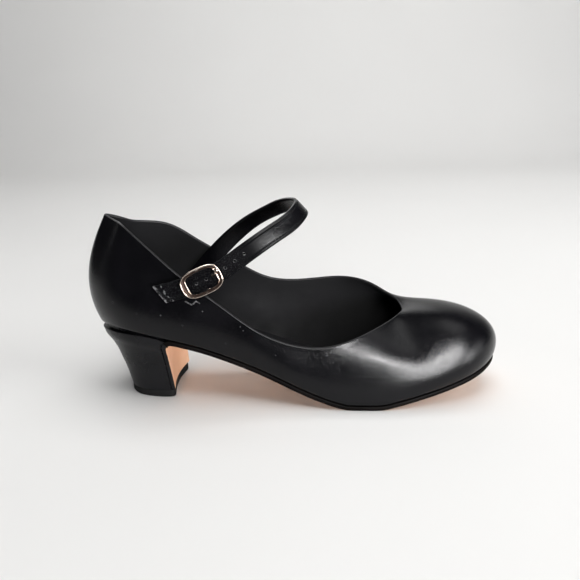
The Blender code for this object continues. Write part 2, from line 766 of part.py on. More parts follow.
def frame_loop():
    """Vertices and faces of the oval buckle frame over the strap."""
    level = frame_level()
    power = 2.0 / FRAME_SQUARENESS
    rows = []
    half_side = math.pi / WIRE_SIDES
    turns = np.linspace(0.0, 2.0 * math.pi, FRAME_STATIONS + 1)[:-1]
    for turn in turns:
        c, s = math.cos(turn), math.sin(turn)
        x = FRAME_HALF_LENGTH * math.copysign(abs(c) ** power, c)
        y = FRAME_HALF_WIDTH * math.copysign(abs(s) ** power, s)
        away = Vector((math.copysign(abs(c) ** (2.0 - power), c) / FRAME_HALF_LENGTH,
                       math.copysign(abs(s) ** (2.0 - power), s) / FRAME_HALF_WIDTH)).normalized()
        ring = []
        for spin in np.linspace(0.0, 2.0 * math.pi, WIRE_SIDES + 1)[:-1]:
            side = FRAME_WIRE_WIDE * math.cos(spin + half_side)
            rise = FRAME_WIRE_DEEP * math.sin(spin + half_side) / math.cos(half_side)
            ring.append(buckle_point(x + side * away[0], y + side * away[1], level + rise))
        rows.append(ring)
    return tube_mesh(np.array(rows), closed=True)


def bar_tube():
    """Vertices and faces of the centre bar with its two posts up into the frame."""
    level = frame_level()
    side = FRAME_HALF_WIDTH + BAR_OVERHANG
    path = ((-side, level), (-side, BAR_DEPTH + BAR_RADIUS), (-side + BAR_RADIUS, BAR_DEPTH),
            (side - BAR_RADIUS, BAR_DEPTH), (side, BAR_DEPTH + BAR_RADIUS), (side, level))
    ways = unit_rows(np.gradient(np.array(path), axis=0))
    rows = []
    for (across, out), (way_across, way_out) in zip(path, ways):
        ring = []
        for spin in np.linspace(0.0, 2.0 * math.pi, WIRE_SIDES + 1)[:-1]:
            off = BAR_FLATNESS * BAR_RADIUS * math.cos(spin)
            ring.append(buckle_point(BAR_RADIUS * math.sin(spin),
                                     across - off * way_out, out + off * way_across))
        rows.append(ring)
    return tube_mesh(np.array(rows), closed=False)


def tab_strip():
    """Vertices and faces of the tab that follows the back of the strap and turns round the bar."""
    path = np.array(TAB_LINE, float)
    ways = unit_rows(np.gradient(path, axis=0))
    half_wide, half_deep = 0.5 * TAB_WIDTH, 0.5 * TAB_THICKNESS
    rows = []
    for (along, depth), (way_along, way_out) in zip(path, ways):
        point, forward, across, out = (item[0] for item in strap_frame([BUCKLE_FROM_END + along]))
        side = way_along * out - way_out * forward
        middle = point + depth * out
        rows.append([middle + a * half_wide * across + b * half_deep * side
                     for a, b in ((-1, -1), (1, -1), (1, 1), (-1, 1))])
    return tube_mesh(np.array(rows), closed=False)


def slot_cutter():
    """Vertices and faces of the cutter for the prong's slot in the tab."""
    rows = []
    for along in (-TAB_SLOT_REACH, TAB_SLOT_REACH):
        rows.append([buckle_point(along, a * 0.5 * TAB_SLOT, depth)
                     for a, depth in ((-1, TAB_SLOT_FLOOR), (1, TAB_SLOT_FLOOR),
                                      (1, TAB_SLOT_ROOF), (-1, TAB_SLOT_ROOF))])
    return tube_mesh(np.array(rows), closed=False)


def prong_tube():
    """Vertices and faces of the prong from its hook to its tip on the frame."""
    table = np.array(PRONG_LINE, float)
    step = np.linalg.norm(np.diff(table[:, 0:2], axis=0), axis=1)
    knots = np.concatenate([[0.0], np.cumsum(step)])
    curve = smooth_curve(knots, table, closed=False)
    stations = np.linspace(0.0, knots[-1], PRONG_STATIONS)
    points = curve(stations)
    ways = unit_rows(np.gradient(points[:, 0:2], axis=0))
    rows = []
    for (along, out, radius), (way_along, way_out) in zip(points, ways):
        ring = []
        for spin in np.linspace(0.0, 2.0 * math.pi, WIRE_SIDES + 1)[:-1]:
            off = radius * math.cos(spin)
            ring.append(buckle_point(along - off * way_out, radius * math.sin(spin),
                                     out + off * way_along))
        rows.append(ring)
    return tube_mesh(np.array(rows), closed=False)


def new_material(name, colour, roughness, metallic):
    """Principled material with a plain colour."""
    material = bpy.data.materials.new(name)
    material.use_nodes = True
    shader = material.node_tree.nodes["Principled BSDF"]
    shader.inputs["Base Color"].default_value = (*colour, 1.0)
    shader.inputs["Roughness"].default_value = roughness
    shader.inputs["Metallic"].default_value = metallic
    return material


def new_object(name, mesh_parts, material):
    """Object at the origin from vertices in millimetres and faces, faces turned outward."""
    vertices, faces = mesh_parts
    body = bmesh.new()
    points = [body.verts.new((Vector(vertex) + Vector(PLACE)) * MM) for vertex in vertices]
    for face in faces:
        body.faces.new([points[index] for index in face])
    bmesh.ops.recalc_face_normals(body, faces=body.faces)
    bmesh.ops.triangulate(body, faces=[face for face in body.faces if len(face.verts) > 4])
    mesh = bpy.data.meshes.new(name)
    body.to_mesh(mesh)
    body.free()
    mesh.shade_smooth()
    mesh.set_sharp_from_angle(angle=math.radians(SHARP_DEGREES))
    thing = bpy.data.objects.new(name, mesh)
    bpy.context.scene.collection.objects.link(thing)
    if material is not None:
        mesh.materials.append(material)
    return thing


def hide_helper(thing):
    """Mark an object as a guide that is not part of the shoe."""
    thing.hide_render = True
    thing.display_type = "WIRE"


def add_boolean(thing, helper, operation):
    """Join or cut an object with a helper."""
    hide_helper(helper)
    modifier = thing.modifiers.new(operation.lower(), "BOOLEAN")
    modifier.object = helper
    modifier.operation = operation
    modifier.solver = "EXACT"


def build_shoe():
    """Build every piece of the shoe."""
    for thing in list(bpy.data.objects):
        bpy.data.objects.remove(thing, do_unlink=True)
    black_leather = new_material("black_leather", (0.012, 0.012, 0.014), 0.42, 0.0)
    black_heel = new_material("black_heel", (0.012, 0.012, 0.014), 0.38, 0.0)
    tan_sole = new_material("tan_sole", (0.55, 0.33, 0.19), 0.7, 0.0)
    black_rubber = new_material("black_rubber", (0.015, 0.015, 0.015), 0.8, 0.0)
    dark_lining = new_material("dark_lining", (0.02, 0.02, 0.022), 0.85, 0.0)
    pale_metal = new_material("pale_metal", (0.86, 0.80, 0.68), 0.2, 1.0)

    new_object("upper", upper_shell(), black_leather)
    new_object("insole", insole_sheet(), dark_lining)
    new_object("outsole", outsole_sheet(), tan_sole)
    new_object("heel", heel_block(), black_heel)
    new_object("top_lift", top_lift_block(), black_rubber)
    strap = new_object("strap", strap_band(), black_leather)
    add_boolean(strap, new_object("strap_hole_guide", hole_cutters(), None), "DIFFERENCE")
    frame = new_object("buckle_frame", frame_loop(), pale_metal)
    add_boolean(frame, new_object("centre_bar_guide", bar_tube(), None), "UNION")
    new_object("buckle_prong", prong_tube(), pale_metal)
    tab = new_object("buckle_tab", tab_strip(), black_leather)
    add_boolean(tab, new_object("tab_slot_guide", slot_cutter(), None), "DIFFERENCE")


build_shoe()
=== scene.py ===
"""Looks of a right dance shoe: black leather, pale gold buckle, tan sole and a covered heel."""
import logging
import math
from collections.abc import Callable, Sequence
from dataclasses import dataclass, field
from enum import Enum

import bmesh
import bpy
import numpy as np
from mathutils import Matrix, Vector


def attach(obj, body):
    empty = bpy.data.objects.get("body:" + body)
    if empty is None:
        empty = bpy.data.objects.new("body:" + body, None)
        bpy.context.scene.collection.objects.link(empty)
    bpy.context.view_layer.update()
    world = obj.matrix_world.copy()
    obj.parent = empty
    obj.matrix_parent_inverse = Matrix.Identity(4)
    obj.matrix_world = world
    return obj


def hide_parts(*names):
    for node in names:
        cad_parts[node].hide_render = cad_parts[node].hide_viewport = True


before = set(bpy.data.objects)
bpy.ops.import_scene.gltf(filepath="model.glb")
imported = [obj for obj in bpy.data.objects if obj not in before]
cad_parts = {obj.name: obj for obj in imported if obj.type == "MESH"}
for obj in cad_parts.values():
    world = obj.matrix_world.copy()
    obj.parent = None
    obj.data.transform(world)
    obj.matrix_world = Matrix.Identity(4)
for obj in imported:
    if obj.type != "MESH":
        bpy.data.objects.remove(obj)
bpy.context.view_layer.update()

LOG = logging.getLogger("dance_shoe")
BODY = "root"

MM = 0.001
PLACE = np.array([0.37, 0.73, 0.0])
UP = np.array([0.0, 0.0, 1.0])

Curve = Callable[[np.ndarray], np.ndarray]
Colour = tuple[float, float, float]


class Slot(Enum):
    """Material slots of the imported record."""

    LEATHER = "black_leather"
    LINING = "dark_lining"
    SOLE = "tan_sole"
    HEEL = "black_heel"
    RUBBER = "black_rubber"
    METAL = "pale_metal"


class Joining(Enum):
    """How a helper changes a piece."""

    CUT = "DIFFERENCE"
    FUSE = "UNION"


# Heights of the sole line under the upper: share of length from the back, share of the seat height
SOLE_LINE = (
    (0.012, 0.962), (0.063, 1.000), (0.104, 0.991), (0.146, 0.951), (0.196, 0.888), (0.242, 0.827),
    (0.288, 0.756), (0.333, 0.670), (0.383, 0.570), (0.429, 0.473), (0.475, 0.365), (0.521, 0.253),
    (0.567, 0.155), (0.608, 0.084), (0.638, 0.05381), (0.704, 0.05381), (0.750, 0.099),
    (0.800, 0.156), (0.846, 0.211), (0.892, 0.284), (0.942, 0.370), (0.996, 0.452),
)

# Sections of the upper from the back seam to the toe: base along, outer and inner; top along,
# outer and inner; lift outer and inner; lean, rise, slope outer and inner, reach
UPPER_SECTIONS = (
    (0.0235, 0.000, 0.000, 0.061, 0.000, 0.000, 1.001, 1.001, 20, 0.37, 60, 60, 0.41),
    (0.043, 0.320, 0.320, 0.090, 0.145, 0.143, 0.975, 0.977, 19, 0.37, 62, 62, 0.41),
    (0.0825, 0.544, 0.544, 0.112, 0.331, 0.297, 0.969, 0.946, 17, 0.37, 67, 67, 0.38),
    (0.151, 0.689, 0.678, 0.178, 0.534, 0.534, 0.857, 0.913, 14, 0.37, 74, 74, 0.36),
    (0.242, 0.717, 0.667, 0.254, 0.656, 0.633, 0.709, 0.811, 13, 0.36, 79, 79, 0.35),
    (0.342, 0.731, 0.600, 0.344, 0.722, 0.674, 0.552, 0.678, 11, 0.36, 82, 84, 0.35),
    (0.442, 0.811, 0.631, 0.439, 0.789, 0.706, 0.402, 0.558, 10, 0.36, 79, 84, 0.35),
    (0.542, 0.925, 0.764, 0.546, 0.815, 0.736, 0.329, 0.543, 5.5, 0.357, 76, 82, 0.342),
    (0.650, 1.006, 0.917, 0.627, 0.763, 0.714, 0.348, 0.556, -0.5, 0.347, 59.6, 74, 0.322),
    (0.758, 0.978, 0.944, 0.693, 0.586, 0.563, 0.393, 0.541, 5.2, 0.356, 44.3, 52, 0.38),
    (0.860, 0.817, 0.828, 0.740, 0.343, 0.377, 0.421, 0.497, 19.0, 0.321, 39.0, 27, 0.416),
    (0.954, 0.534, 0.553, 0.766, 0.124, 0.199, 0.441, 0.468, 12.6, 0.3, 1.4, 1.4, 0.606),
    (0.9975, -0.042, 0.042, 0.772, -0.014, 0.014, 0.449, 0.449, 13.3, 0.29, -8.2, -8.2, 0.59),
)

# Growth of the heel from the top lift to the seat: share of height, share of the way out
HEEL_FLARE = (
    (0.00, 0.00), (0.27, 0.17), (0.45, 0.33), (0.61, 0.48), (0.75, 0.68), (0.88, 0.92), (1.00, 1.00),
)

# Middle line of the strap from its free end on the outer quarter to its sewn end inside
STRAP_LINE = (
    (-69.5, -29.5, 68.4), (-59.0, -28.9, 71.0), (-46.0, -28.8, 75.6), (-34.0, -28.2, 81.8),
    (-25.0, -26.0, 87.6), (-16.0, -21.9, 93.2), (-6.0, -16.3, 98.8), (2.0, -9.8, 103.2),
    (6.8, -1.6, 107.6), (6.0, 7.0, 108.6), (-1.0, 14.6, 107.8), (-11.0, 19.2, 103.6),
    (-22.0, 21.4, 97.8), (-33.0, 21.4, 90.0), (-43.0, 20.6, 81.0), (-52.0, 20.1, 71.6),
    (-60.0, 21.4, 62.4),
)

# Prong from its hook to its tip: along and out from the strap's middle, radius
PRONG_LINE = (
    (-1.7, -3.4, 0.55), (-1.2, -4.6, 0.60), (0.0, -5.1, 0.60), (1.6, -4.7, 0.60), (4.0, -3.2, 0.60),
    (6.2, -1.5, 0.60), (7.6, 0.6, 0.60), (8.3, 2.4, 0.60), (9.1, 3.9, 0.60), (10.2, 4.45, 0.60),
    (11.4, 4.42, 0.45),
)

# Bent scratch under the strap's end and pale specks on the outer quarter, in metres
RUBBED_LINE = (
    (-0.0559, -0.0253, 0.0633), (-0.0525, -0.0255, 0.0614), (-0.0502, -0.0250, 0.0632),
    (-0.0483, -0.0251, 0.0622),
)
SPECKS = (
    (-0.0977, -0.0231, 0.0625), (-0.0469, -0.0258, 0.0575), (-0.0247, -0.0271, 0.0465),
    (-0.0074, -0.0297, 0.0324), (-0.0838, -0.0261, 0.0569), (-0.0703, -0.0267, 0.0558),
    (-0.0585, -0.0269, 0.0498), (-0.0352, -0.0272, 0.0387), (-0.0263, -0.0268, 0.0487),
    (0.0208, -0.0294, 0.0320),
)

# Tab from its sewn end on the quarter to its turn round the bar: along and out from the buckle
TAB_LINE = (
    (-17.0, -1.95), (-12.0, -1.92), (-7.0, -1.90), (-2.5, -1.90), (0.0, -1.90), (1.2, -2.35),
    (1.75, -3.40), (1.2, -4.45), (0.0, -4.90), (-1.8, -4.90),
)


def unit_rows(rows: np.ndarray) -> np.ndarray:
    """Scale each row of an array to length one."""
    return rows / np.linalg.norm(rows, axis=-1, keepdims=True)


def soft_step(value: np.ndarray, start: float, end: float) -> np.ndarray:
    """Smooth rise from 0 at start to 1 at end.

    Args:
        value: Numbers to place between start and end.
        start: Where the rise begins.
        end: Where the rise is complete.

    Returns:
        Shares from 0 to 1.
    """
    share = np.clip((np.asarray(value, float) - start) / (end - start), 0.0, 1.0)
    return share * share * (3.0 - 2.0 * share)


def monotone_curve(table: Sequence[tuple[float, float]]) -> Curve:
    """Join the rows of a table by cubic arcs without overshoot.

    Args:
        table: Rows of place and value, in rising order of place.

    Returns:
        Function from places to values.
    """
    knots, values = np.array(table, float).T
    step = np.diff(knots)
    secant = np.diff(values) / step
    slope = np.zeros(len(knots))
    for i in range(1, len(knots) - 1):
        if secant[i - 1] * secant[i] > 0.0:
            before = 2.0 * step[i] + step[i - 1]
            after = step[i] + 2.0 * step[i - 1]
            slope[i] = (before + after) / (before / secant[i - 1] + after / secant[i])
    slope[0] = secant[0]
    slope[-1] = secant[-1]

    def curve(at: np.ndarray) -> np.ndarray:
        """Values at the places.

        Args:
            at: Places.

        Returns:
            Values there.
        """
        at = np.asarray(at, float)
        index = np.clip(np.searchsorted(knots, at) - 1, 0, len(step) - 1)
        share = (at - knots[index]) / step[index]
        inside = np.clip(share, 0.0, 1.0)
        rise_start = (1.0 + 2.0 * inside) * (1.0 - inside) ** 2
        rise_end = inside * inside * (3.0 - 2.0 * inside)
        lean_start = inside * (1.0 - inside) ** 2
        lean_end = inside * inside * (inside - 1.0)
        result = rise_start * values[index] + rise_end * values[index + 1]
        result = result + step[index] * (lean_start * slope[index] + lean_end * slope[index + 1])
        beyond = (share - inside) * step[index]
        return result + beyond * np.where(share > 1.0, slope[-1], slope[0])

    return curve


def smooth_curve(knots: np.ndarray, values: np.ndarray, closed: bool) -> Curve:
    """Twice smooth curve through rows of values; a closed one repeats its first row.

    Args:
        knots: Rising places of the rows.
        values: Rows that the curve passes through.
        closed: Whether the last row joins the first without a corner.

    Returns:
        Function from an array of places to rows.
    """
    knots = np.asarray(knots, float)
    values = np.asarray(values, float)
    step = np.diff(knots)
    count = len(values) - 1 if closed else len(values)
    matrix = np.zeros((count, count))
    right = np.zeros((count, values.shape[1]))
    for i in range(count):
        if not closed and i in (0, count - 1):
            matrix[i, i] = 1.0
            continue
        before, after = step[i - 1], step[i]
        matrix[i, (i - 1) % count] += before / 6.0
        matrix[i, i] += (before + after) / 3.0
        matrix[i, (i + 1) % count] += after / 6.0
        ahead = (values[i + 1] - values[i]) / after
        behind = (values[i] - values[i - 1 if i > 0 else count - 1]) / before
        right[i] = ahead - behind
    moments = np.linalg.solve(matrix, right)
    if closed:
        moments = np.vstack([moments, moments[:1]])

    def curve(at: np.ndarray) -> np.ndarray:
        """Rows at the places.

        Args:
            at: Places.

        Returns:
            One row for each place.
        """
        at = np.asarray(at, float)
        index = np.clip(np.searchsorted(knots, at, side="right") - 1, 0, len(step) - 1)
        wide = step[index][:, None]
        ahead = ((knots[index + 1] - at) / step[index])[:, None]
        behind = 1.0 - ahead
        line = ahead * values[index] + behind * values[index + 1]
        bend = (ahead ** 3 - ahead) * moments[index] + (behind ** 3 - behind) * moments[index + 1]
        return line + bend * wide * wide / 6.0

    return curve


def chord_knots(rows: np.ndarray) -> np.ndarray:
    """Distance of each row from the first, along the rows."""
    return np.concatenate([[0.0], np.cumsum(np.linalg.norm(np.diff(rows, axis=0), axis=1))])


@dataclass
class MeshParts:
    """Points in millimetres with faces and a finish number for each face."""

    points: np.ndarray
    faces: list[tuple[int, ...]]
    finishes: list[int] = field(default_factory=list)


def ring_grid(rows: np.ndarray, finish_of_row: Sequence[int], closed_rows: bool) -> MeshParts:
    """Mesh from rows of points that each close on themselves.

    Args:
        rows: Array of rows, columns and three coordinates.
        finish_of_row: Finish number of the faces between each row and the next.
        closed_rows: Whether the last row joins the first; otherwise both ends are capped.

    Returns:
        Points, faces and finishes.
    """
    count, columns = rows.shape[0], rows.shape[1]
    faces: list[tuple[int, ...]] = []
    finishes: list[int] = []
    for i in range(count if closed_rows else count - 1):
        nxt = (i + 1) % count
        for j in range(columns):
            k = (j + 1) % columns
            faces.append((i * columns + j, i * columns + k, nxt * columns + k, nxt * columns + j))
            finishes.append(finish_of_row[i])
    if not closed_rows:
        faces.append(tuple(range(columns - 1, -1, -1)))
        faces.append(tuple(range((count - 1) * columns, count * columns)))
        finishes += [finish_of_row[0], finish_of_row[-1]]
    return MeshParts(rows.reshape(-1, 3), faces, finishes)


def make_object(name: str, parts: MeshParts, materials: Sequence[bpy.types.Material],
                sharp_degrees: float) -> bpy.types.Object:
    """Make an object at the origin from points in millimetres.

    Args:
        name: Name of the piece.
        parts: Points, faces and finish numbers.
        materials: Finishes in the order of their numbers.
        sharp_degrees: Edges bent by more than this stay sharp.

    Returns:
        The linked object, faces outward.
    """
    mesh = bpy.data.meshes.new(name)
    mesh.from_pydata(((parts.points + PLACE) * MM).tolist(), [], parts.faces)
    for material in materials:
        mesh.materials.append(material)
    if parts.finishes:
        mesh.polygons.foreach_set("material_index", parts.finishes)
    body = bmesh.new()
    body.from_mesh(mesh)
    bmesh.ops.recalc_face_normals(body, faces=body.faces)
    body.to_mesh(mesh)
    body.free()
    mesh.shade_smooth()
    mesh.set_sharp_from_angle(angle=math.radians(sharp_degrees))
    thing = bpy.data.objects.new(name, mesh)
    bpy.context.scene.collection.objects.link(thing)
    return thing


def work_with(thing: bpy.types.Object, helper: bpy.types.Object, joining: Joining,
              sharp_degrees: float) -> None:
    """Cut or fuse an object with a helper and drop the helper.

    Args:
        thing: Object to change.
        helper: Helper, removed afterwards.
        joining: Whether the helper cuts or adds.
        sharp_degrees: Edges bent by more than this stay sharp.
    """
    modifier = thing.modifiers.new("joint", "BOOLEAN")
    modifier.object = helper
    modifier.operation = joining.value
    modifier.solver = "EXACT"
    freeze(thing)
    bpy.data.objects.remove(helper, do_unlink=True)
    thing.data.shade_smooth()
    thing.data.set_sharp_from_angle(angle=math.radians(sharp_degrees))


def freeze(thing: bpy.types.Object) -> None:
    """Turn an object with modifiers into a plain mesh.

    Args:
        thing: Object to change.
    """
    graph = bpy.context.evaluated_depsgraph_get()
    mesh = bpy.data.meshes.new_from_object(thing.evaluated_get(graph))
    thing.modifiers.clear()
    thing.data = mesh


def settle(thing: bpy.types.Object, slot: Slot, *nodes: str) -> bpy.types.Object:
    """Put a finished piece on the shoe.

    Args:
        thing: The piece.
        slot: Record slot of the piece; not used.
        nodes: Solids that it stands for.

    Returns:
        The piece.
    """
    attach(thing, BODY)
    if nodes:
        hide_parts(*nodes)
    LOG.info("%s: %d faces", thing.name, len(thing.data.polygons))
    return thing


class Graph:
    """Node tree of one material with short ways to add and join nodes."""

    def __init__(self, name: str) -> None:
        """Start a material with a plain shader and the piece's own coordinates.

        Args:
            name: Name of the material.
        """
        self.material = bpy.data.materials.new(name)
        self.material.use_nodes = True
        self.tree = self.material.node_tree
        self.shader = self.tree.nodes["Principled BSDF"]
        self.at = self.node("TexCoord").outputs["Object"]

    def node(self, kind: str, settings: dict[str, object] | None = None,
             **inputs: object) -> bpy.types.Node:
        """Add a node.

        Args:
            kind: Node type without its ShaderNode start.
            settings: Properties of the node itself.
            inputs: Sockets by name, with underscores for spaces: a value or a socket to join.

        Returns:
            The node.
        """
        made = self.tree.nodes.new("ShaderNode" + kind)
        for name, value in (settings or {}).items():
            setattr(made, name, value)
        for name, value in inputs.items():
            self.put(made.inputs[name.replace("_", " ")], value)
        return made

    def put(self, socket: bpy.types.NodeSocket, value: object) -> None:
        """Join a socket to another, or set its own value.

        Args:
            socket: Socket to fill.
            value: A socket to join or a plain value.
        """
        if isinstance(value, bpy.types.NodeSocket):
            self.tree.links.new(value, socket)
        else:
            socket.default_value = value

    def sum(self, operation: str, first: object, second: object,
            clamp: bool = False) -> bpy.types.NodeSocket:
        """Result of a sum of two numbers or sockets.

        Args:
            operation: Name of the sum.
            first: First number or socket.
            second: Second number or socket.
            clamp: Whether to keep it from 0 to 1.

        Returns:
            Socket of the result.
        """
        made = self.node("Math", {"operation": operation, "use_clamp": clamp})
        self.put(made.inputs[0], first)
        self.put(made.inputs[1], second)
        return made.outputs[0]

    def vector(self, operation: str, first: object, second: object) -> bpy.types.Node:
        """Node that joins two vectors or sockets.

        Args:
            operation: Name of the sum.
            first: First vector or socket.
            second: Second vector or socket.

        Returns:
            The node.
        """
        made = self.node("VectorMath", {"operation": operation})
        self.put(made.inputs[0], first)
        self.put(made.inputs[1], second)
        return made

    def between(self, value: bpy.types.NodeSocket, low: float, high: float, start: float,
                end: float) -> bpy.types.NodeSocket:
        """Value moved smoothly from low to high onto start to end.

        Args:
            value: Socket to read.
            low: Value that becomes start.
            high: Value that becomes end.
            start: First result.
            end: Last result.

        Returns:
            Socket of the result.
        """
        made = self.node("MapRange", {"interpolation_type": "SMOOTHSTEP"}, Value=value,
                         From_Min=low, From_Max=high, To_Min=start, To_Max=end)
        return made.outputs["Result"]

    def mix(self, share: object, first: object, second: object) -> bpy.types.NodeSocket:
        """Colour between two colours or sockets.

        Args:
            share: Share of the second colour.
            first: First colour or socket.
            second: Second colour or socket.

        Returns:
            Socket of the colour.
        """
        made = self.node("MixRGB")
        for socket, value in zip(made.inputs, (share, first, second)):
            is_colour = isinstance(value, tuple)
            self.put(socket, (*value, 1.0) if is_colour else value)
        return made.outputs[0]

    def noise(self, at: bpy.types.NodeSocket, scale: float, detail: float) -> bpy.types.NodeSocket:
        """Soft cloudy value at the coordinates."""
        return self.node("TexNoise", Vector=at, Scale=scale, Detail=detail).outputs["Fac"]

    def bump(self, height: bpy.types.NodeSocket, strength: float,
             distance: float) -> bpy.types.NodeSocket:
        """Normal raised by a height."""
        made = self.node("Bump", Strength=strength, Distance=distance, Height=height)
        return made.outputs["Normal"]

    def dress(self, colour: bpy.types.NodeSocket, rough: object,
              normal: bpy.types.NodeSocket | None = None,
              sheen: float | None = None) -> bpy.types.Material:
        """Set the shader's main sockets.

        Args:
            colour: Colour of the surface.
            rough: Roughness, a number or a socket.
            normal: Raised normal, where there is one.
            sheen: Specular level, where it is not the shader's own.

        Returns:
            The finished material.
        """
        values = {"Base Color": colour, "Roughness": rough, "Normal": normal,
                  "Specular IOR Level": sheen}
        for name, value in values.items():
            if value is not None:
                self.put(self.shader.inputs[name], value)
        return self.material


@dataclass(frozen=True)
class Mark:
    """One pale rubbed mark on the leather, in metres."""

    start: tuple[float, float, float]
    end: tuple[float, float, float]
    strength: float
    reach: float = 0.0006

    def mask(self, g: Graph, at: bpy.types.NodeSocket) -> bpy.types.NodeSocket:
        """Share of the mark at the coordinates.

        Args:
            g: Graph of the finish.
            at: Coordinates.

        Returns:
            Socket of the share.
        """
        way = np.subtract(self.end, self.start)
        off = g.vector("SUBTRACT", at, self.start).outputs[0]
        share = g.vector("DOT_PRODUCT", off, tuple(way / max(way @ way, 1.0e-12))).outputs["Value"]
        nearest = g.node("VectorMath", {"operation": "SCALE"}, Scale=g.sum("ADD", share, 0.0, True))
        g.put(nearest.inputs[0], tuple(way))
        away = g.vector("DISTANCE", off, nearest.outputs[0]).outputs["Value"]
        return g.between(away, self.reach, 0.3 * self.reach, 0.0, self.strength)


@dataclass(frozen=True)
class LeatherFinish:
    """Smooth black leather with a fine grain, cloudy gloss and a few pale rubbed marks."""

    name: str
    dark: Colour = (0.0022, 0.0022, 0.0029)
    light: Colour = (0.0040, 0.0039, 0.0050)
    pale: Colour = (0.33, 0.33, 0.34)
    gloss_low: float = 0.15
    gloss_high: float = 0.21
    grain_per_m: float = 1500.0
    grain_depth: float = 0.00003
    grain_strength: float = 0.7
    sheen: float = 0.21
    marks: tuple[Mark, ...] = ()
    worn_end: bool = False

    def make(self) -> bpy.types.Material:
        """Build the material.

        Returns:
            The material.
        """
        g = Graph(self.name)
        at = g.at
        cloud = g.noise(at, 45.0, 3.0)
        warp = g.node("TexNoise", Vector=at, Scale=700.0, Detail=2.0).outputs["Color"]
        moved = g.vector("MULTIPLY_ADD", warp, (0.0006, 0.0006, 0.0006))
        g.put(moved.inputs[2], at)
        cells = g.node("TexVoronoi", {"feature": "DISTANCE_TO_EDGE"}, Vector=moved.outputs[0],
                       Scale=self.grain_per_m).outputs["Distance"]
        pebble = g.between(cells, 0.0, 0.28, 0.0, 1.0)
        pores = g.noise(at, 5200.0, 2.0)
        height = g.sum("ADD", pebble, g.sum("MULTIPLY", pores, 0.5))
        colour = g.mix(g.between(cloud, 0.35, 0.7, 0.0, 1.0), self.dark, self.light)
        rough = g.between(cloud, 0.3, 0.7, self.gloss_low, self.gloss_high)
        flecks = g.between(g.noise(at, 1300.0, 3.0), 0.36, 0.58, 0.25, 1.0)
        masks = [g.sum("MULTIPLY", mark.mask(g, moved.outputs[0]), flecks) for mark in self.marks]
        g.shader.inputs["Specular IOR Level"].default_value = self.sheen
        if self.worn_end:
            from_end = g.node("Attribute", {"attribute_name": "from_end"}).outputs["Fac"]
            rough = g.sum("ADD", rough, g.between(from_end, 68.0, 52.0, 0.0, 0.26))
            g.put(g.shader.inputs["Specular IOR Level"], g.between(from_end, 54.0, 76.0, 0.010, 0.14))
            masks.append(self.wear_mask(g, at, from_end))
        for mask in masks:
            colour = g.mix(mask, colour, self.pale)
            rough = g.sum("ADD", rough, g.sum("MULTIPLY", mask, 0.35))
        return g.dress(colour, rough, g.bump(height, self.grain_strength, self.grain_depth))

    def wear_mask(self, g: Graph, at: bpy.types.NodeSocket,
                  from_end: bpy.types.NodeSocket) -> bpy.types.NodeSocket:
        """Mask of the rubbed free end, a crease beside it and grit as far as the last hole.

        Args:
            g: Graph of the finish.
            at: Coordinates.
            from_end: Distance from the free end in millimetres.

        Returns:
            Socket of the mask.
        """
        flecks = g.noise(at, 900.0, 4.0)
        sway = g.between(g.noise(at, 300.0, 2.0), 0.3, 0.7, -1.1, 1.1)
        frayed = g.sum("ADD", from_end, g.sum("MULTIPLY", sway, 0.5))
        edge = g.sum("MULTIPLY", g.between(frayed, 1.5, 0.4, 0.0, 1.0),
                     g.between(flecks, 0.42, 0.58, 0.05, 0.6))
        beside = g.sum("ABSOLUTE", g.sum("SUBTRACT", g.sum("ADD", from_end, sway), 3.8), 0.0)
        crease = g.sum("MULTIPLY", g.between(beside, 1.1, 0.3, 0.0, 1.0),
                       g.between(flecks, 0.46, 0.60, 0.0, 0.6))
        grit = g.sum("MULTIPLY", g.between(from_end, 56.0, 44.0, 0.0, 1.0),
                     g.between(g.noise(at, 2300.0, 4.0), 0.52, 0.72, 0.0, 0.13))
        return g.sum("MAXIMUM", grit, g.sum("MAXIMUM", edge, crease))


@dataclass(frozen=True)
class LiningFinish:
    """Matte dark lining with a close woven face."""

    name: str
    dark: Colour = (0.0030, 0.0030, 0.0038)
    light: Colour = (0.0065, 0.0065, 0.0078)
    threads_per_m: float = 1700.0
    sheen: float = 0.15

    def make(self) -> bpy.types.Material:
        """Build the material.

        Returns:
            The material.
        """
        g = Graph(self.name)
        at = g.at
        weave, cross = (g.node("TexWave", {"bands_direction": way}, Vector=at,
                               Scale=self.threads_per_m / 6.3).outputs["Fac"] for way in "XZ")
        height = g.sum("MULTIPLY", weave, cross)
        cloud = g.noise(at, 80.0, 3.0)
        return g.dress(g.mix(cloud, self.dark, self.light), g.between(cloud, 0.3, 0.7, 0.72, 0.88),
                       g.bump(height, 0.4, 0.00005), self.sheen)


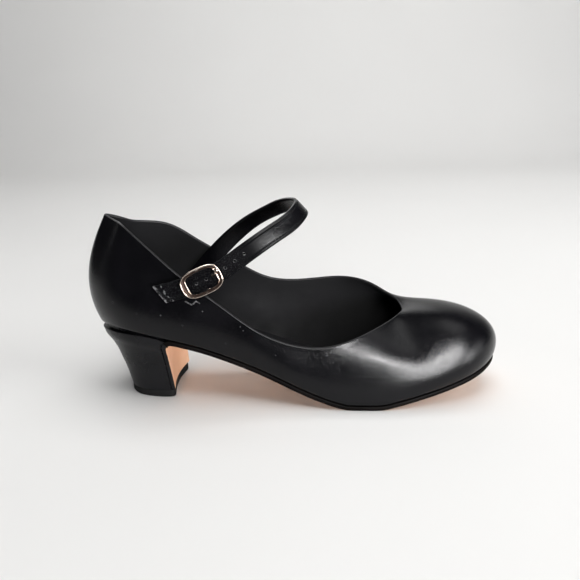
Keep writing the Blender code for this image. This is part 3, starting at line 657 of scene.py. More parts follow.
@dataclass(frozen=True)
class SoleFinish:
    """Bare tan sole leather with fibres, a mottled tone and darker rubbed places."""

    name: str
    pale: Colour = (0.80, 0.50, 0.33)
    deep: Colour = (0.66, 0.38, 0.24)
    dirt: Colour = (0.21, 0.13, 0.09)
    sheen: float = 0.15

    def make(self) -> bpy.types.Material:
        """Build the material.

        Returns:
            The material.
        """
        g = Graph(self.name)
        at = g.at
        cloud = g.noise(at, 38.0, 5.0)
        drawn = g.node("Mapping", Vector=at, Scale=(300.0, 1400.0, 1400.0)).outputs[0]
        fibre = g.noise(drawn, 1.0, 4.0)
        tone = g.mix(g.between(cloud, 0.3, 0.7, 0.0, 1.0), self.pale, self.deep)
        tone = g.mix(g.between(fibre, 0.45, 0.75, 0.0, 0.25), tone, self.deep)
        xyz = g.node("SeparateXYZ", Vector=at)
        low = g.between(xyz.outputs[2], 0.004, 0.0005, 0.0, 1.0)
        worn = g.sum("MULTIPLY", low, g.between(g.noise(at, 120.0, 4.0), 0.4, 0.65, 0.0, 0.55))
        return g.dress(g.mix(worn, tone, self.dirt), g.between(cloud, 0.3, 0.7, 0.62, 0.78),
                       g.bump(fibre, 0.4, 0.00004), self.sheen)


@dataclass(frozen=True)
class EdgeFinish:
    """Dark painted or moulded face with a faint cloud, for edges, heel and top lift."""

    name: str
    dark: Colour
    light: Colour
    gloss_low: float
    gloss_high: float
    grain_per_m: float
    grain_strength: float
    sheen: float
    grain_depth: float = 0.00003

    def make(self) -> bpy.types.Material:
        """Build the material.

        Returns:
            The material.
        """
        g = Graph(self.name)
        at = g.at
        cloud = g.noise(at, 55.0, 4.0)
        grain = g.noise(at, self.grain_per_m, 3.0)
        return g.dress(g.mix(g.between(cloud, 0.3, 0.7, 0.0, 1.0), self.dark, self.light),
                       g.between(cloud, 0.3, 0.7, self.gloss_low, self.gloss_high),
                       g.bump(grain, self.grain_strength, self.grain_depth), self.sheen)


@dataclass(frozen=True)
class MetalFinish:
    """Pale gold plate with fine handling marks; its dark copy on the low flange is part tarnish, part
    painted shade.
    """

    name: str
    bright: Colour = (0.66, 0.57, 0.50)
    dull: Colour = (0.50, 0.41, 0.34)
    gloss_low: float = 0.14
    gloss_high: float = 0.27

    def make(self) -> bpy.types.Material:
        """Build the material.

        Returns:
            The material.
        """
        g = Graph(self.name)
        at = g.at
        cloud = g.noise(at, 260.0, 4.0)
        drawn = g.node("Mapping", Vector=at, Scale=(900.0, 900.0, 5200.0)).outputs[0]
        g.shader.inputs["Metallic"].default_value = 1.0
        return g.dress(g.mix(g.between(cloud, 0.45, 0.75, 0.0, 1.0), self.bright, self.dull),
                       g.between(cloud, 0.3, 0.7, self.gloss_low, self.gloss_high),
                       g.bump(g.noise(drawn, 1.0, 3.0), 0.2, 0.00001))


@dataclass(frozen=True)
class ThreadFinish:
    """Waxed black sewing thread with a twist."""

    name: str
    dark: Colour = (0.0015, 0.0015, 0.0018)
    light: Colour = (0.0040, 0.0040, 0.0046)
    gloss: float = 0.85
    sheen: float = 0.08

    def make(self) -> bpy.types.Material:
        """Build the material.

        Returns:
            The material.
        """
        g = Graph(self.name)
        at = g.at
        wave = g.node("TexWave", {"bands_direction": "DIAGONAL"}, Vector=at, Scale=700.0)
        twist = wave.outputs["Fac"]
        return g.dress(g.mix(twist, self.dark, self.light), self.gloss,
                       g.bump(twist, 0.4, 0.00005), self.sheen)


@dataclass
class ShoeForm:
    """The laws of the shoe's shape that its pieces share, in millimetres."""

    length: float = 240.0
    ball_half: float = 36.0
    seat_height: float = 44.6
    collar_height: float = 107.0
    seam_gap: float = 0.3
    wall: float = 1.8
    feather_round: float = 2.6
    lasting_margin: float = 8.0
    top_spread: float = 20.0
    outline_samples: int = 1600

    def __post_init__(self) -> None:
        """Prepare the sole line and the closed ring of sections."""
        self.sole_line = monotone_curve(
            [(float(self.to_x(a)), h * self.seat_height) for a, h in SOLE_LINE])
        self.ring_curve = self.make_ring()

    def to_x(self, along: np.ndarray | float) -> np.ndarray:
        """Millimetres from the middle of the shoe for a share of its length from the back."""
        return (np.asarray(along, float) - 0.5) * self.length

    def make_ring(self) -> Curve:
        """Closed curve through the sections: back, outer side, toe, inner side.

        Returns:
            Function from shares of the way round to sections.
        """
        table = np.array(UPPER_SECTIONS, float)
        outer = np.column_stack([table[:, 0], -table[:, 1], table[:, 3], -table[:, 4], table[:, 6],
                                 table[:, 8], table[:, 9], table[:, 10], table[:, 12]])
        inner = np.column_stack([table[:, 0], table[:, 2], table[:, 3], table[:, 5], table[:, 7],
                                 table[:, 8], table[:, 9], table[:, 11], table[:, 12]])
        rows = np.vstack([outer, inner[-2::-1]])
        rows[:, [0, 2]] = self.to_x(rows[:, [0, 2]])
        rows[:, [1, 3]] *= self.ball_half
        rows[:, 4] *= self.collar_height
        rows[:, [5, 7]] = np.radians(rows[:, [5, 7]])
        base_step = np.linalg.norm(np.diff(rows[:, 0:2], axis=0), axis=1)
        top_step = np.linalg.norm(np.diff(rows[:, 2:5], axis=0), axis=1)
        knots = np.concatenate([[0.0], np.cumsum(0.5 * (base_step + top_step))])
        return smooth_curve(knots / knots[-1], rows, closed=True)

    def feather(self, count: int) -> tuple[np.ndarray, np.ndarray]:
        """Sections evenly round the ring with the outward plan direction of the feather line.

        Args:
            count: Number of sections.

        Returns:
            Sections and plan directions.
        """
        at = np.arange(count) / count
        reach = 1.0e-4
        ahead = self.ring_curve((at + reach) % 1.0)[:, 0:2]
        behind = self.ring_curve((at - reach) % 1.0)[:, 0:2]
        along = unit_rows(ahead - behind)
        return self.ring_curve(at), np.stack([along[:, 1], -along[:, 0]], axis=1)

    def on_sole(self, plan: np.ndarray, above: float) -> np.ndarray:
        """Points over the sole line at plan positions."""
        return np.column_stack([plan, self.sole_line(plan[:, 0]) + above])

    def edges(self, inset: float) -> tuple[Curve, Curve, tuple[float, float]]:
        """Outer and inner edges of the feather outline set in by a little, as functions of x.

        Args:
            inset: Distance in from the feather line.

        Returns:
            Outer edge, inner edge, and the first and last x.
        """
        ring, outward = self.feather(self.outline_samples)
        plan = ring[:, 0:2] - inset * outward
        back = int(np.argmin(plan[:, 0]))
        front = (int(np.argmax(plan[:, 0])) - back) % len(plan)
        order = np.roll(plan, -back, axis=0)
        outer = order[:front + 1]
        inner = np.vstack([order[front:], order[:1]])[::-1]

        def edge(side: np.ndarray) -> Curve:
            """Edge as a function of x."""
            return lambda x: np.interp(x, side[:, 0], side[:, 1])

        return edge(outer), edge(inner), (float(outer[0, 0]), float(outer[-1, 0]))


@dataclass
class Upper:
    """Hollow leather upper with a folded topline, lined inside."""

    form: ShoeForm
    columns: int = 420
    corner_rows: int = 7
    wall_rows: int = 66
    rim_rows: int = 9
    rim_height: float = 0.9
    groove_at: float = 2.0
    groove_half: float = 0.9
    groove_depth: float = 0.04
    groove_fade: tuple[float, float] = (5.0, 45.0)
    groove_loss: float = 0.8
    band_lift: float = 0.03
    band_edge: tuple[float, float] = (1.4, 2.2)
    row_crowding: float = 1.3
    sharp: float = 50.0

    def outer_rows(self) -> np.ndarray:
        """Rows of outer points from the inner edge of the lasting margin up to the topline.

        Returns:
            Array of rows, columns and coordinates.
        """
        f = self.form
        ring, outward = f.feather(self.columns)
        plan = ring[:, 0:2]
        flat = np.column_stack([outward, np.zeros(self.columns)])
        foot = f.on_sole(plan, f.seam_gap)
        top = ring[:, 2:5]
        lean = ring[:, 5][:, None]
        wall_way = np.sin(lean) * flat + np.cos(lean) * UP
        chord = np.linalg.norm(top - foot, axis=1)[:, None]
        rows = [f.on_sole(plan - f.lasting_margin * outward, f.seam_gap)]
        under = f.on_sole(plan - f.feather_round * outward, f.seam_gap)
        start = foot + f.feather_round * wall_way
        for share in np.linspace(0.0, 1.0, self.corner_rows)[:-1]:
            rest = 1.0 - share
            rows.append(rest ** 2 * under + 2 * share * rest * foot + share ** 2 * start)
        spread = unit_rows((foot - top) * np.array([1.0, 1.0, 0.0]) + f.top_spread * flat)
        slope = ring[:, 7][:, None]
        top_way = np.cos(slope) * spread - np.sin(slope) * UP
        low = start + ring[:, 6][:, None] * chord * wall_way
        high = top + ring[:, 8][:, None] * chord * top_way
        turns = np.linspace(0.0, 0.5 * math.pi, self.wall_rows + 1)
        for share in np.sin(turns) ** self.row_crowding:
            rest = 1.0 - share
            rows.append(rest ** 3 * start + 3 * rest * rest * share * low
                        + 3 * rest * share * share * high + share ** 3 * top)
        return np.array(rows)

    def relief(self, rows: np.ndarray) -> np.ndarray:
        """Height of the folded band and its groove at each outer point.

        Args:
            rows: Rows of outer points.

        Returns:
            Height for each point.
        """
        step = np.linalg.norm(np.diff(rows, axis=0), axis=2)
        from_top = np.vstack([np.cumsum(step[::-1], axis=0)[::-1], np.zeros((1, rows.shape[1]))])
        groove = np.exp(-((from_top - self.groove_at) / self.groove_half) ** 2)
        band = 1.0 - soft_step(from_top, *self.band_edge)
        keep = 1.0 - self.groove_loss * soft_step(rows[-1][:, 0], *self.groove_fade)
        return keep * (self.band_lift * band - self.groove_depth * groove)

    def build(self, leather: bpy.types.Material, lining: bpy.types.Material,
              fold: bpy.types.Material) -> bpy.types.Object:
        """Make the upper and put it on the shoe.

        Args:
            leather: Finish of the outside.
            lining: Finish of the inside.
            fold: Finish of the folded topline.

        Returns:
            The piece.
        """
        rows = self.outer_rows()
        around = np.roll(rows, -1, axis=1) - np.roll(rows, 1, axis=1)
        normals = unit_rows(np.cross(around, np.gradient(rows, axis=0)))
        inner = (rows - self.form.wall * normals)[::-2]
        inner = np.concatenate([inner, (rows - self.form.wall * normals)[:1]])
        outer = rows + self.relief(rows)[:, :, None] * normals
        crest = unit_rows(rows[-1] - rows[-2])
        middle = 0.5 * (outer[-1] + inner[0])
        side = 0.5 * (outer[-1] - inner[0])
        rim = []
        for turn in np.linspace(0.0, math.pi, self.rim_rows + 2)[1:-1]:
            rim.append(middle + math.cos(turn) * side + self.rim_height * math.sin(turn) * crest)
        loop = np.concatenate([outer, np.array(rim), inner])
        leather_rows = len(outer) + self.rim_rows - 1
        finishes = [0] * (len(outer) - 1) + [2] * self.rim_rows + [1] * (len(loop) - leather_rows)
        parts = ring_grid(loop, finishes, closed_rows=True)
        thing = make_object("upper_leather", parts, (leather, lining, fold), self.sharp)
        return settle(thing, Slot.LEATHER, "upper")


@dataclass
class Insole:
    """Dark sock over the lasting margin, a little cushioned."""

    form: ShoeForm
    inset: float = 3.4
    thickness: float = 1.5
    tip_cut: float = 0.15
    stations: int = 150
    columns: int = 41
    edge_round: float = 0.6
    edge_drop: float = 0.45
    sharp: float = 45.0

    def build(self, lining: bpy.types.Material) -> bpy.types.Object:
        """Make the insole and put it on the shoe.

        Args:
            lining: Finish of the sock.

        Returns:
            The piece.
        """
        f = self.form
        outer, inner, span = f.edges(self.inset)
        turn = np.linspace(0.0, math.pi, self.stations)
        start, end = span[0] + self.tip_cut, span[1] - self.tip_cut
        floor = f.wall + 2.0 * f.seam_gap
        across = np.sin(np.linspace(-0.5 * math.pi, 0.5 * math.pi, self.columns))
        rows = []
        for x in start + (end - start) * 0.5 * (1.0 - np.cos(turn)):
            half = 0.5 * float(inner(x) - outer(x))
            y = 0.5 * float(inner(x) + outer(x)) + half * across
            base = float(f.sole_line(x)) + floor
            rim = np.clip(half * (1.0 - np.abs(across)) / self.edge_round, 0.0, 1.0)
            crown = self.thickness - self.edge_drop * (1.0 - np.sqrt(1.0 - (1.0 - rim) ** 2))
            upper = np.column_stack([np.full(self.columns, x), y, base + crown])
            lower = np.column_stack([np.full(2, x), y[[-1, 0]], np.full(2, base)])
            rows.append(np.vstack([upper, lower]))
        parts = ring_grid(np.array(rows), [0] * len(rows), closed_rows=False)
        thing = make_object("sock_lining", parts, (lining,), self.sharp)
        return settle(thing, Slot.LINING, "insole")


@dataclass
class Breast:
    """Line down the heel breast that the sole sheet and the heel share."""

    form: ShoeForm
    turn_x: float = -74.0
    turn_leg: float = 7.0
    foot_x: float = -71.8
    hollow_depth: float = 2.6
    hollow_span: float = 0.6
    lift_thickness: float = 4.6
    lift_half: float = 19.4
    heel_inset: float = 0.3

    def __post_init__(self) -> None:
        """Prepare the flare of the heel and the breadths at the turn."""
        self.flare = monotone_curve(HEEL_FLARE)
        outer, inner, _ = self.form.edges(self.heel_inset)
        self.wide_outer = -float(outer(self.turn_x))
        self.wide_inner = float(inner(self.turn_x))

    def turn(self, share: float) -> np.ndarray:
        """Point of the line where it turns from the shank down the breast.

        Args:
            share: Share of the way round the turn.

        Returns:
            The point, as x and z.
        """
        corner = np.array([self.turn_x, float(self.form.sole_line(self.turn_x))])
        start_x = self.turn_x + self.turn_leg
        start = np.array([start_x, float(self.form.sole_line(start_x))])
        end = corner - np.array([0.0, self.turn_leg])
        return (1 - share) ** 2 * start + 2 * share * (1 - share) * corner + share ** 2 * end

    def line(self, height: float) -> float:
        """Place of the sheet's back face on the breast at a height.

        Args:
            height: Height over the floor.

        Returns:
            Its x.
        """
        top = self.turn(1.0)
        share = (height - self.lift_thickness) / (top[1] - self.lift_thickness)
        return float(self.foot_x + (top[0] - self.foot_x) * share)

    def hollow(self, height: float) -> float:
        """Depth of the hollow across the breast, none at the turn and full at the foot.

        Args:
            height: Height over the floor.

        Returns:
            The depth.
        """
        top = self.turn(1.0)[1]
        reach = self.hollow_span * (top - self.lift_thickness)
        return self.hollow_depth * float(soft_step(top - height, 0.0, reach))

    def halves(self, height: float) -> tuple[float, float]:
        """Half breadths, outer and inner, of the flap at a height.

        Args:
            height: Height over the floor.

        Returns:
            Outer and inner half.
        """
        head = float(self.form.sole_line(self.turn_x)) - self.lift_thickness
        grow = float(self.flare(np.clip((height - self.lift_thickness) / head, 0.0, 1.0)))
        return (self.lift_half + (self.wide_outer - self.lift_half) * grow,
                self.lift_half + (self.wide_inner - self.lift_half) * grow)


@dataclass
class Outsole:
    """Tan sole sheet with a dark painted edge, from the toe to the foot of the heel breast."""

    form: ShoeForm
    breast: Breast
    thickness: float = 2.4
    inset: float = 0.5
    tip_cut: float = 0.15
    toe_reach: float = 32.0
    toe_stations: int = 40
    shank_stations: int = 120
    turn_stations: int = 22
    breast_stations: int = 30
    columns: int = 33
    turn_fill: float = 1.6
    turn_fill_half: float = 3.6
    edge_shares: tuple[float, ...] = (0.0, 0.12, 0.32, 0.68, 0.88, 1.0)
    edge_out: tuple[float, ...] = (-0.30, -0.04, 0.06, 0.06, -0.04, -0.30)
    sharp: float = 60.0

    def profile(self) -> np.ndarray:
        """Upper line of the sheet from the toe to the foot of the breast, as x and z.

        Returns:
            Points of the line.
        """
        tip = self.form.edges(self.inset)[2][1] - self.tip_cut
        turns = np.linspace(0.0, 0.5 * math.pi, self.toe_stations)
        forward = tip - self.toe_reach * (1.0 - np.cos(turns))
        back = self.breast.turn_x + self.breast.turn_leg
        shank = np.linspace(forward[-1], back, self.shank_stations)[1:-1]
        points = [(x, float(self.form.sole_line(x))) for x in np.concatenate([forward, shank])]
        points += [tuple(self.breast.turn(s)) for s in np.linspace(0.0, 1.0, self.turn_stations)]
        foot = self.breast.lift_thickness + self.form.seam_gap
        for height in np.linspace(points[-1][1], foot, self.breast_stations)[1:]:
            points.append((self.breast.line(height), float(height)))
        return np.array(points)

    def breadth(self, x: float, z: float, edges: tuple[Curve, Curve]) -> tuple[float, float, float]:
        """Outer edge, inner edge and hollow of the sheet at a point of its upper line.

        Args:
            x: Place along the shoe.
            z: Height there.
            edges: Outer and inner edge as functions of x.

        Returns:
            Outer edge, inner edge and hollow.
        """
        b = self.breast
        if z < self.form.sole_line(b.turn_x) and x < b.turn_x + b.turn_leg:
            low_outer, low_inner = b.halves(z)
            return -low_outer, low_inner, b.hollow(z)
        return float(edges[0](x)), float(edges[1](x)), 0.0

    def build(self, tan: bpy.types.Material, edge: bpy.types.Material,
              cover: bpy.types.Material) -> bpy.types.Object:
        """Make the sole sheet and put it on the shoe.

        Args:
            tan: Finish of the bare face.
            edge: Paint of the edge.
            cover: Finish of the edge along the breast.

        Returns:
            The piece.
        """
        outer, inner, _ = self.form.edges(self.inset)
        profile = self.profile()
        along = unit_rows(np.gradient(profile, axis=0))
        down = np.stack([-along[:, 1], along[:, 0]], axis=1)
        widths = np.array([self.breadth(x, z, (outer, inner)) for x, z in profile])
        plan_step = chord_knots(profile)
        tilt = [np.gradient(widths[:, side], plan_step) for side in (0, 1)]
        turn_row = self.toe_stations + self.shank_stations - 2 + self.turn_stations // 2
        off_turn = (plan_step - plan_step[turn_row]) / self.turn_fill_half
        fill = self.turn_fill * np.exp(-off_turn ** 2)
        across = np.linspace(-1.0, 1.0, self.columns)
        rows = []
        for i, ((x, z), (dx, dz)) in enumerate(zip(profile, down)):
            low, high, hollow = widths[i]
            way = np.array([along[i, 0], 0.0, along[i, 1]])
            drop = np.array([dx, 0.0, dz]) * (self.thickness + fill[i])
            ring = []
            for side, y, sign in ((0, low, -1.0), (1, high, 1.0)):
                plan = unit_rows(np.array([sign, -sign * tilt[side][i]]))
                edge_line = [np.array([x, y, z]) + share * drop
                             + out * (plan[0] * np.array([0.0, 1.0, 0.0]) + plan[1] * way)
                             for share, out in zip(self.edge_shares, self.edge_out)]
                ring.append(edge_line if sign < 0.0 else edge_line[::-1])
            ends = (ring[0][-1][1], ring[1][0][1])
            middle = 0.5 * (ends[0] + ends[1]) + 0.5 * (ends[1] - ends[0]) * across[1:-1]
            bend = hollow * (1.0 - across[1:-1] ** 2)
            face = np.column_stack([x + drop[0] - bend, middle, np.full(len(middle), z + drop[2])])
            back = np.column_stack([x - bend, middle, np.full(len(middle), z)])[::-1]
            rows.append(np.vstack([ring[0], face, ring[1], back]))
        rows = np.array(rows)
        columns = rows.shape[1]
        band = len(self.edge_shares)
        parts = ring_grid(rows, [0] * len(rows), closed_rows=False)
        bare = range(band - 1, band + self.columns - 2)
        parts.finishes = [0 if k % columns in bare else 1 if k < turn_row * columns else 2
                          for k in range((len(rows) - 1) * columns)] + [1, 2]
        thing = make_object("sole_sheet", parts, (tan, edge, cover), self.sharp)
        return settle(thing, Slot.SOLE, "outsole")


@dataclass
class Heel:
    """Covered flared heel with the rubber top lift under it."""

    form: ShoeForm
    breast: Breast
    lift_back_x: float = -99.6
    squareness: float = 2.7
    sole_thickness: float = 2.4
    lip: float = 0.4
    breast_levels: int = 44
    turn_levels: int = 16
    side_columns: int = 44
    front_columns: int = 25
    front_gap: float = 0.05
    crevice: float = 2.3
    crevice_span: tuple[float, float] = (77.0, 113.0)
    ledge: tuple[tuple[float, float], ...] = ((0.15, 0.03), (0.6, 0.10), (2.4, 0.22), (2.7, 1.0))
    seat_gap: float = 0.06
    corner_round: float = 3.0
    corner_points: int = 9
    cover_sharp: float = 45.0
    lift_sharp: float = 50.0
    lift_steps: tuple[tuple[float, float], ...] = (
        (0.0, 0.80), (0.22, 0.34), (0.80, 0.0), (4.25, 0.0), (4.50, 0.08), (4.6, 0.22))

    def __post_init__(self) -> None:
        """Find the edges of the seat."""
        self.edges = self.form.edges(self.breast.heel_inset)

    def round_back(self) -> tuple[np.ndarray, np.ndarray]:
        """Shares of the way back and of the half breadth round the back of the heel.

        Returns:
            Shares of the way back, shares of the half breadth.
        """
        turns = np.linspace(0.0, 0.5 * math.pi, self.side_columns + 1)
        back = np.sin(turns) ** (2.0 / self.squareness)
        wide = np.cos(turns) ** (2.0 / self.squareness)
        wide[-1] = 0.0
        return back, wide

    def front_line(self) -> np.ndarray:
        """Heel front from its foot up the breast to the lip under the upper, as x and z.

        Returns:
            Points of the line.
        """
        foot = self.breast.lift_thickness + self.form.seam_gap
        turn = [self.breast.turn(s) for s in np.linspace(1.0, self.lip, self.turn_levels)]
        heights = np.linspace(foot, turn[0][1], self.breast_levels)[:-1]
        points = np.array([(self.breast.line(h), float(h)) for h in heights]
                          + [tuple(point) for point in turn])
        along = unit_rows(np.gradient(points, axis=0))
        moved = points + self.front_gap * np.stack([-along[:, 1], along[:, 0]], axis=1)
        moved[0, 1] = foot
        return moved

    def ring(self, x_front: float, z_front: float, front: np.ndarray) -> np.ndarray:
        """Ring of points round the heel at one level of its front.

        Args:
            x_front: Place of the front at this level.
            z_front: Height of the front at this level.
            front: The whole front line.

        Returns:
            Points from the back by the outer side, the front and the inner side.
        """
        outer, inner, span = self.edges
        foot, head = front[0, 1], front[-1, 1]
        share = (z_front - foot) / (head - foot)
        out = float(self.breast.flare(share))
        x_back = self.lift_back_x + (span[0] - self.lift_back_x) * out
        back, wide = self.round_back()
        top_x = front[-1, 0] - (front[-1, 0] - span[0]) * back
        top_z = np.where(back > 0.0, self.form.sole_line(top_x) - self.form.seam_gap, head)
        x = x_front - (x_front - x_back) * back
        z = foot + (top_z - foot) * share
        low = self.breast.lift_half * wide
        outer_y = low + (np.where(wide > 0.0, -outer(top_x), 0.0) - low) * out
        inner_y = low + (np.where(wide > 0.0, inner(top_x), 0.0) - low) * out
        outer_side = np.column_stack([x, -outer_y, z])[:0:-1]
        inner_side = np.column_stack([x, inner_y, z])[1:-1]
        a = np.linspace(-1.0, 1.0, self.front_columns)
        y = a * np.where(a < 0.0, outer_y[0], inner_y[0])
        bend = self.breast.hollow(z_front) * (1.0 - a * a)
        middle = np.column_stack([x_front - bend, y, np.full(len(a), z_front)])
        return np.vstack([outer_side, middle, inner_side])

    def build_block(self, cover: bpy.types.Material) -> bpy.types.Object:
        """Make the covered heel and put it on the shoe.

        Args:
            cover: Finish of the heel.

        Returns:
            The piece.
        """
        front = self.front_line()
        rows = np.array([self.ring(x, z, front) for x, z in front])
        ahead = np.roll(rows, -1, axis=1) - np.roll(rows, 1, axis=1)
        outward = np.stack([ahead[:, :, 1], -ahead[:, :, 0]], axis=2)
        outward = outward / (np.linalg.norm(outward, axis=2, keepdims=True) + 1.0e-9)
        first, last = self.side_columns, self.side_columns + self.front_columns - 1
        column = np.arange(rows.shape[1])
        side = np.where((column >= first) & (column <= last), 0.0, 1.0)
        lower = self.seat_gap + self.crevice * side * soft_step(-rows[-1][:, 0], *self.crevice_span)
        share = np.linspace(0.0, 1.0, len(rows))[:, None]
        rows[:, :, 2] -= lower * share ** 4
        ledge = []
        for inset, lift in self.ledge:
            row = rows[-1].copy()
            row[:, 0:2] -= inset * np.clip(lower, 0.0, 1.0)[:, None] * outward[-1]
            row[:, 2] += lift * lower
            ledge.append(row)
        rows = np.concatenate([rows, np.array(ledge)])
        parts = ring_grid(rows, [0] * len(rows), closed_rows=False)
        parts.faces.pop()
        top = (len(rows) - 1) * rows.shape[1]
        count = rows.shape[1]
        parts.faces.append(tuple(top + j for j in range(first, last + 1))
                           + (top + last + 1, top + first - 1))
        for j in range(1, self.side_columns - 1):
            a, b = first - j, last + j
            parts.faces.append((top + a, top + b, top + b + 1, top + a - 1))
        parts.faces.append((top + 1, top + count - 1, top))
        parts.finishes = []
        thing = make_object("heel_cover", parts, (cover,), self.cover_sharp)
        return settle(thing, Slot.HEEL, "heel")

    def ease(self, plan: np.ndarray, corner: np.ndarray) -> np.ndarray:
        """Round one corner of a plan outline.

        Args:
            plan: Outline points in order.
            corner: Corner to round.

        Returns:
            Outline with an arc in place of the corner.
        """
        near = np.where(np.linalg.norm(plan - corner, axis=1) < self.corner_round)[0]
        start, end = plan[near[0] - 1], plan[(near[-1] + 1) % len(plan)]
        share = np.linspace(0.0, 1.0, self.corner_points)[1:-1, None]
        arc = (1 - share) ** 2 * start + 2 * share * (1 - share) * corner + share ** 2 * end
        return np.vstack([plan[:near[0]], arc, plan[near[-1] + 1:]])

    def build_lift(self, rubber: bpy.types.Material) -> bpy.types.Object:
        """Make the top lift with eased edges and put it on the shoe.

        Args:
            rubber: Finish of the top lift.

        Returns:
            The piece.
        """
        back, wide = self.round_back()
        front_x = self.breast.foot_x + self.sole_thickness
        side_x = front_x - (front_x - self.lift_back_x) * back
        half = self.breast.lift_half
        a = np.linspace(-1.0, 1.0, self.front_columns)
        middle = np.column_stack([front_x - self.breast.hollow_depth * (1.0 - a * a), a * half])
        outer = np.column_stack([side_x, -half * wide])[:0:-1]
        inner = np.column_stack([side_x, half * wide])[1:-1]
        plan = np.vstack([outer, middle, inner])
        for corner in (np.array([front_x, -half]), np.array([front_x, half])):
            plan = self.ease(plan, corner)
        centre = plan.mean(axis=0)
        away = unit_rows(plan - centre)
        rows = np.array([np.column_stack([plan - inset * away, np.full(len(plan), z)])
                         for z, inset in self.lift_steps])
        parts = ring_grid(rows, [0] * len(rows), closed_rows=False)
        thing = make_object("top_lift_rubber", parts, (rubber,), self.lift_sharp)
        return settle(thing, Slot.RUBBER, "top_lift")


class NodeTool:
    """Geometry node tree with named inputs that sets small pieces on a mesh."""

    def __init__(self, name: str, **kinds: str) -> None:
        """Start the tree.

        Args:
            name: Name of the tree.
            kinds: Inputs by name, with underscores for spaces, and the kind of each.
        """
        self.name = name
        self.tree = bpy.data.node_groups.new(name, "GeometryNodeTree")
        face = self.tree.interface
        for way in ("INPUT", "OUTPUT"):
            face.new_socket("Geometry", in_out=way, socket_type="NodeSocketGeometry")
        self.inputs = {key: face.new_socket(key.replace("_", " "), in_out="INPUT",
                                            socket_type="NodeSocket" + kind).identifier
                       for key, kind in kinds.items()}
        self.source = self.add("NodeGroupInput").outputs

    def add(self, kind: str, settings: dict[str, object] | None = None,
            **inputs: object) -> bpy.types.Node:
        """Add a node.

        Args:
            kind: Node type.
            settings: Properties of the node itself.
            inputs: Sockets by name, with underscores for spaces: a value or a socket to join.

        Returns:
            The node.
        """
        made = self.tree.nodes.new(kind)
        for name, value in (settings or {}).items():
            setattr(made, name, value)
        for name, value in inputs.items():
            socket = made.inputs[name.replace("_", " ")]
            if isinstance(value, bpy.types.NodeSocket):
                self.tree.links.new(value, socket)
            else:
                socket.default_value = value
        return made

    def close(self, points: bpy.types.NodeSocket, piece: bpy.types.NodeSocket,
              turn: bpy.types.NodeSocket, material: bpy.types.NodeSocket) -> None:
        """Set the piece at the points, make it real and give it its finish.

        Args:
            points: Where the pieces go.
            piece: Mesh of one piece.
            turn: Rotation at each point.
            material: Finish of the pieces.
        """
        placed = self.add("GeometryNodeInstanceOnPoints", Points=points, Instance=piece, Rotation=turn)
        real = self.add("GeometryNodeRealizeInstances", Geometry=placed.outputs[0])
        smooth = self.add("GeometryNodeSetShadeSmooth", Geometry=real.outputs[0])
        finish = self.add("GeometryNodeSetMaterial", Geometry=smooth.outputs[0], Material=material)
        self.add("NodeGroupOutput", Geometry=finish.outputs[0])

    def run(self, mesh: bpy.types.Mesh, **values: object) -> bpy.types.Object:
        """Run the tree on a mesh.

        Args:
            mesh: Mesh with the lines or points; its name becomes the piece's.
            values: Values of the inputs.

        Returns:
            Plain mesh object of all the pieces.
        """
        thing = bpy.data.objects.new(mesh.name, mesh)
        bpy.context.scene.collection.objects.link(thing)
        modifier = thing.modifiers.new(self.name, "NODES")
        modifier.node_group = self.tree
        for key, value in values.items():
            modifier[self.inputs[key]] = value
        freeze(thing)
        return thing


class StitchRow(NodeTool):
    """Tree that sews a row of threads along a line."""

    SIDES = 8
    RINGS = 6
    SWAY = (0.07, 0.07, 0.0)

    def __init__(self) -> None:
        """Build the tree once."""
        super().__init__("stitch_row", Pitch="Float", Half_Length="Float", Thread_Radius="Float",
                         Seed="Int", Thread="Material")
        source = self.source
        line = self.add("GeometryNodeMeshToCurve", Mesh=source["Geometry"])
        spaced = self.add("GeometryNodeResampleCurve", {"mode": "LENGTH"}, Curve=line.outputs[0],
                          Length=source["Pitch"])
        points = self.add("GeometryNodeCurveToPoints", {"mode": "EVALUATED"}, Curve=spaced.outputs[0])
        thread = self.add("GeometryNodeMeshUVSphere", Segments=self.SIDES, Rings=self.RINGS, Radius=1.0)
        scale = self.add("ShaderNodeCombineXYZ", X=source["Thread Radius"],
                         Y=source["Thread Radius"], Z=source["Half Length"])
        shaped = self.add("GeometryNodeTransform", Geometry=thread.outputs["Mesh"],
                          Scale=scale.outputs[0])
        sway = self.add("FunctionNodeRandomValue", {"data_type": "FLOAT_VECTOR"},
                        Min=tuple(-v for v in self.SWAY), Max=self.SWAY, Seed=source["Seed"])
        turn = self.add("FunctionNodeRotateRotation", {"rotation_space": "LOCAL"},
                        Rotation=points.outputs["Rotation"], Rotate_By=sway.outputs["Value"])
        self.close(points.outputs["Points"], shaped.outputs[0], turn.outputs[0], source["Thread"])

    def sew(self, name: str, lines: Sequence[np.ndarray], pitch: float, thread_length: float,
            radius: float, seed: int, thread: bpy.types.Material) -> bpy.types.Object:
        """Sew threads along lines of points.

        Args:
            name: Name of the piece.
            lines: Lines of points in millimetres.
            pitch: Distance from one stitch to the next.
            thread_length: Length of a thread.
            radius: Radius of a thread.
            seed: Seed of the threads' sway.
            thread: Finish of the thread.

        Returns:
            Plain mesh object of all the threads.
        """
        points, links = [], []
        for line in lines:
            start = len(points)
            points.extend(((line + PLACE) * MM).tolist())
            links.extend((i, i + 1) for i in range(start, start + len(line) - 1))
        mesh = bpy.data.meshes.new(name)
        mesh.from_pydata(points, links, [])
        return self.run(mesh, Pitch=pitch * MM, Half_Length=0.5 * thread_length * MM,
                        Thread_Radius=radius * MM, Seed=seed, Thread=thread)


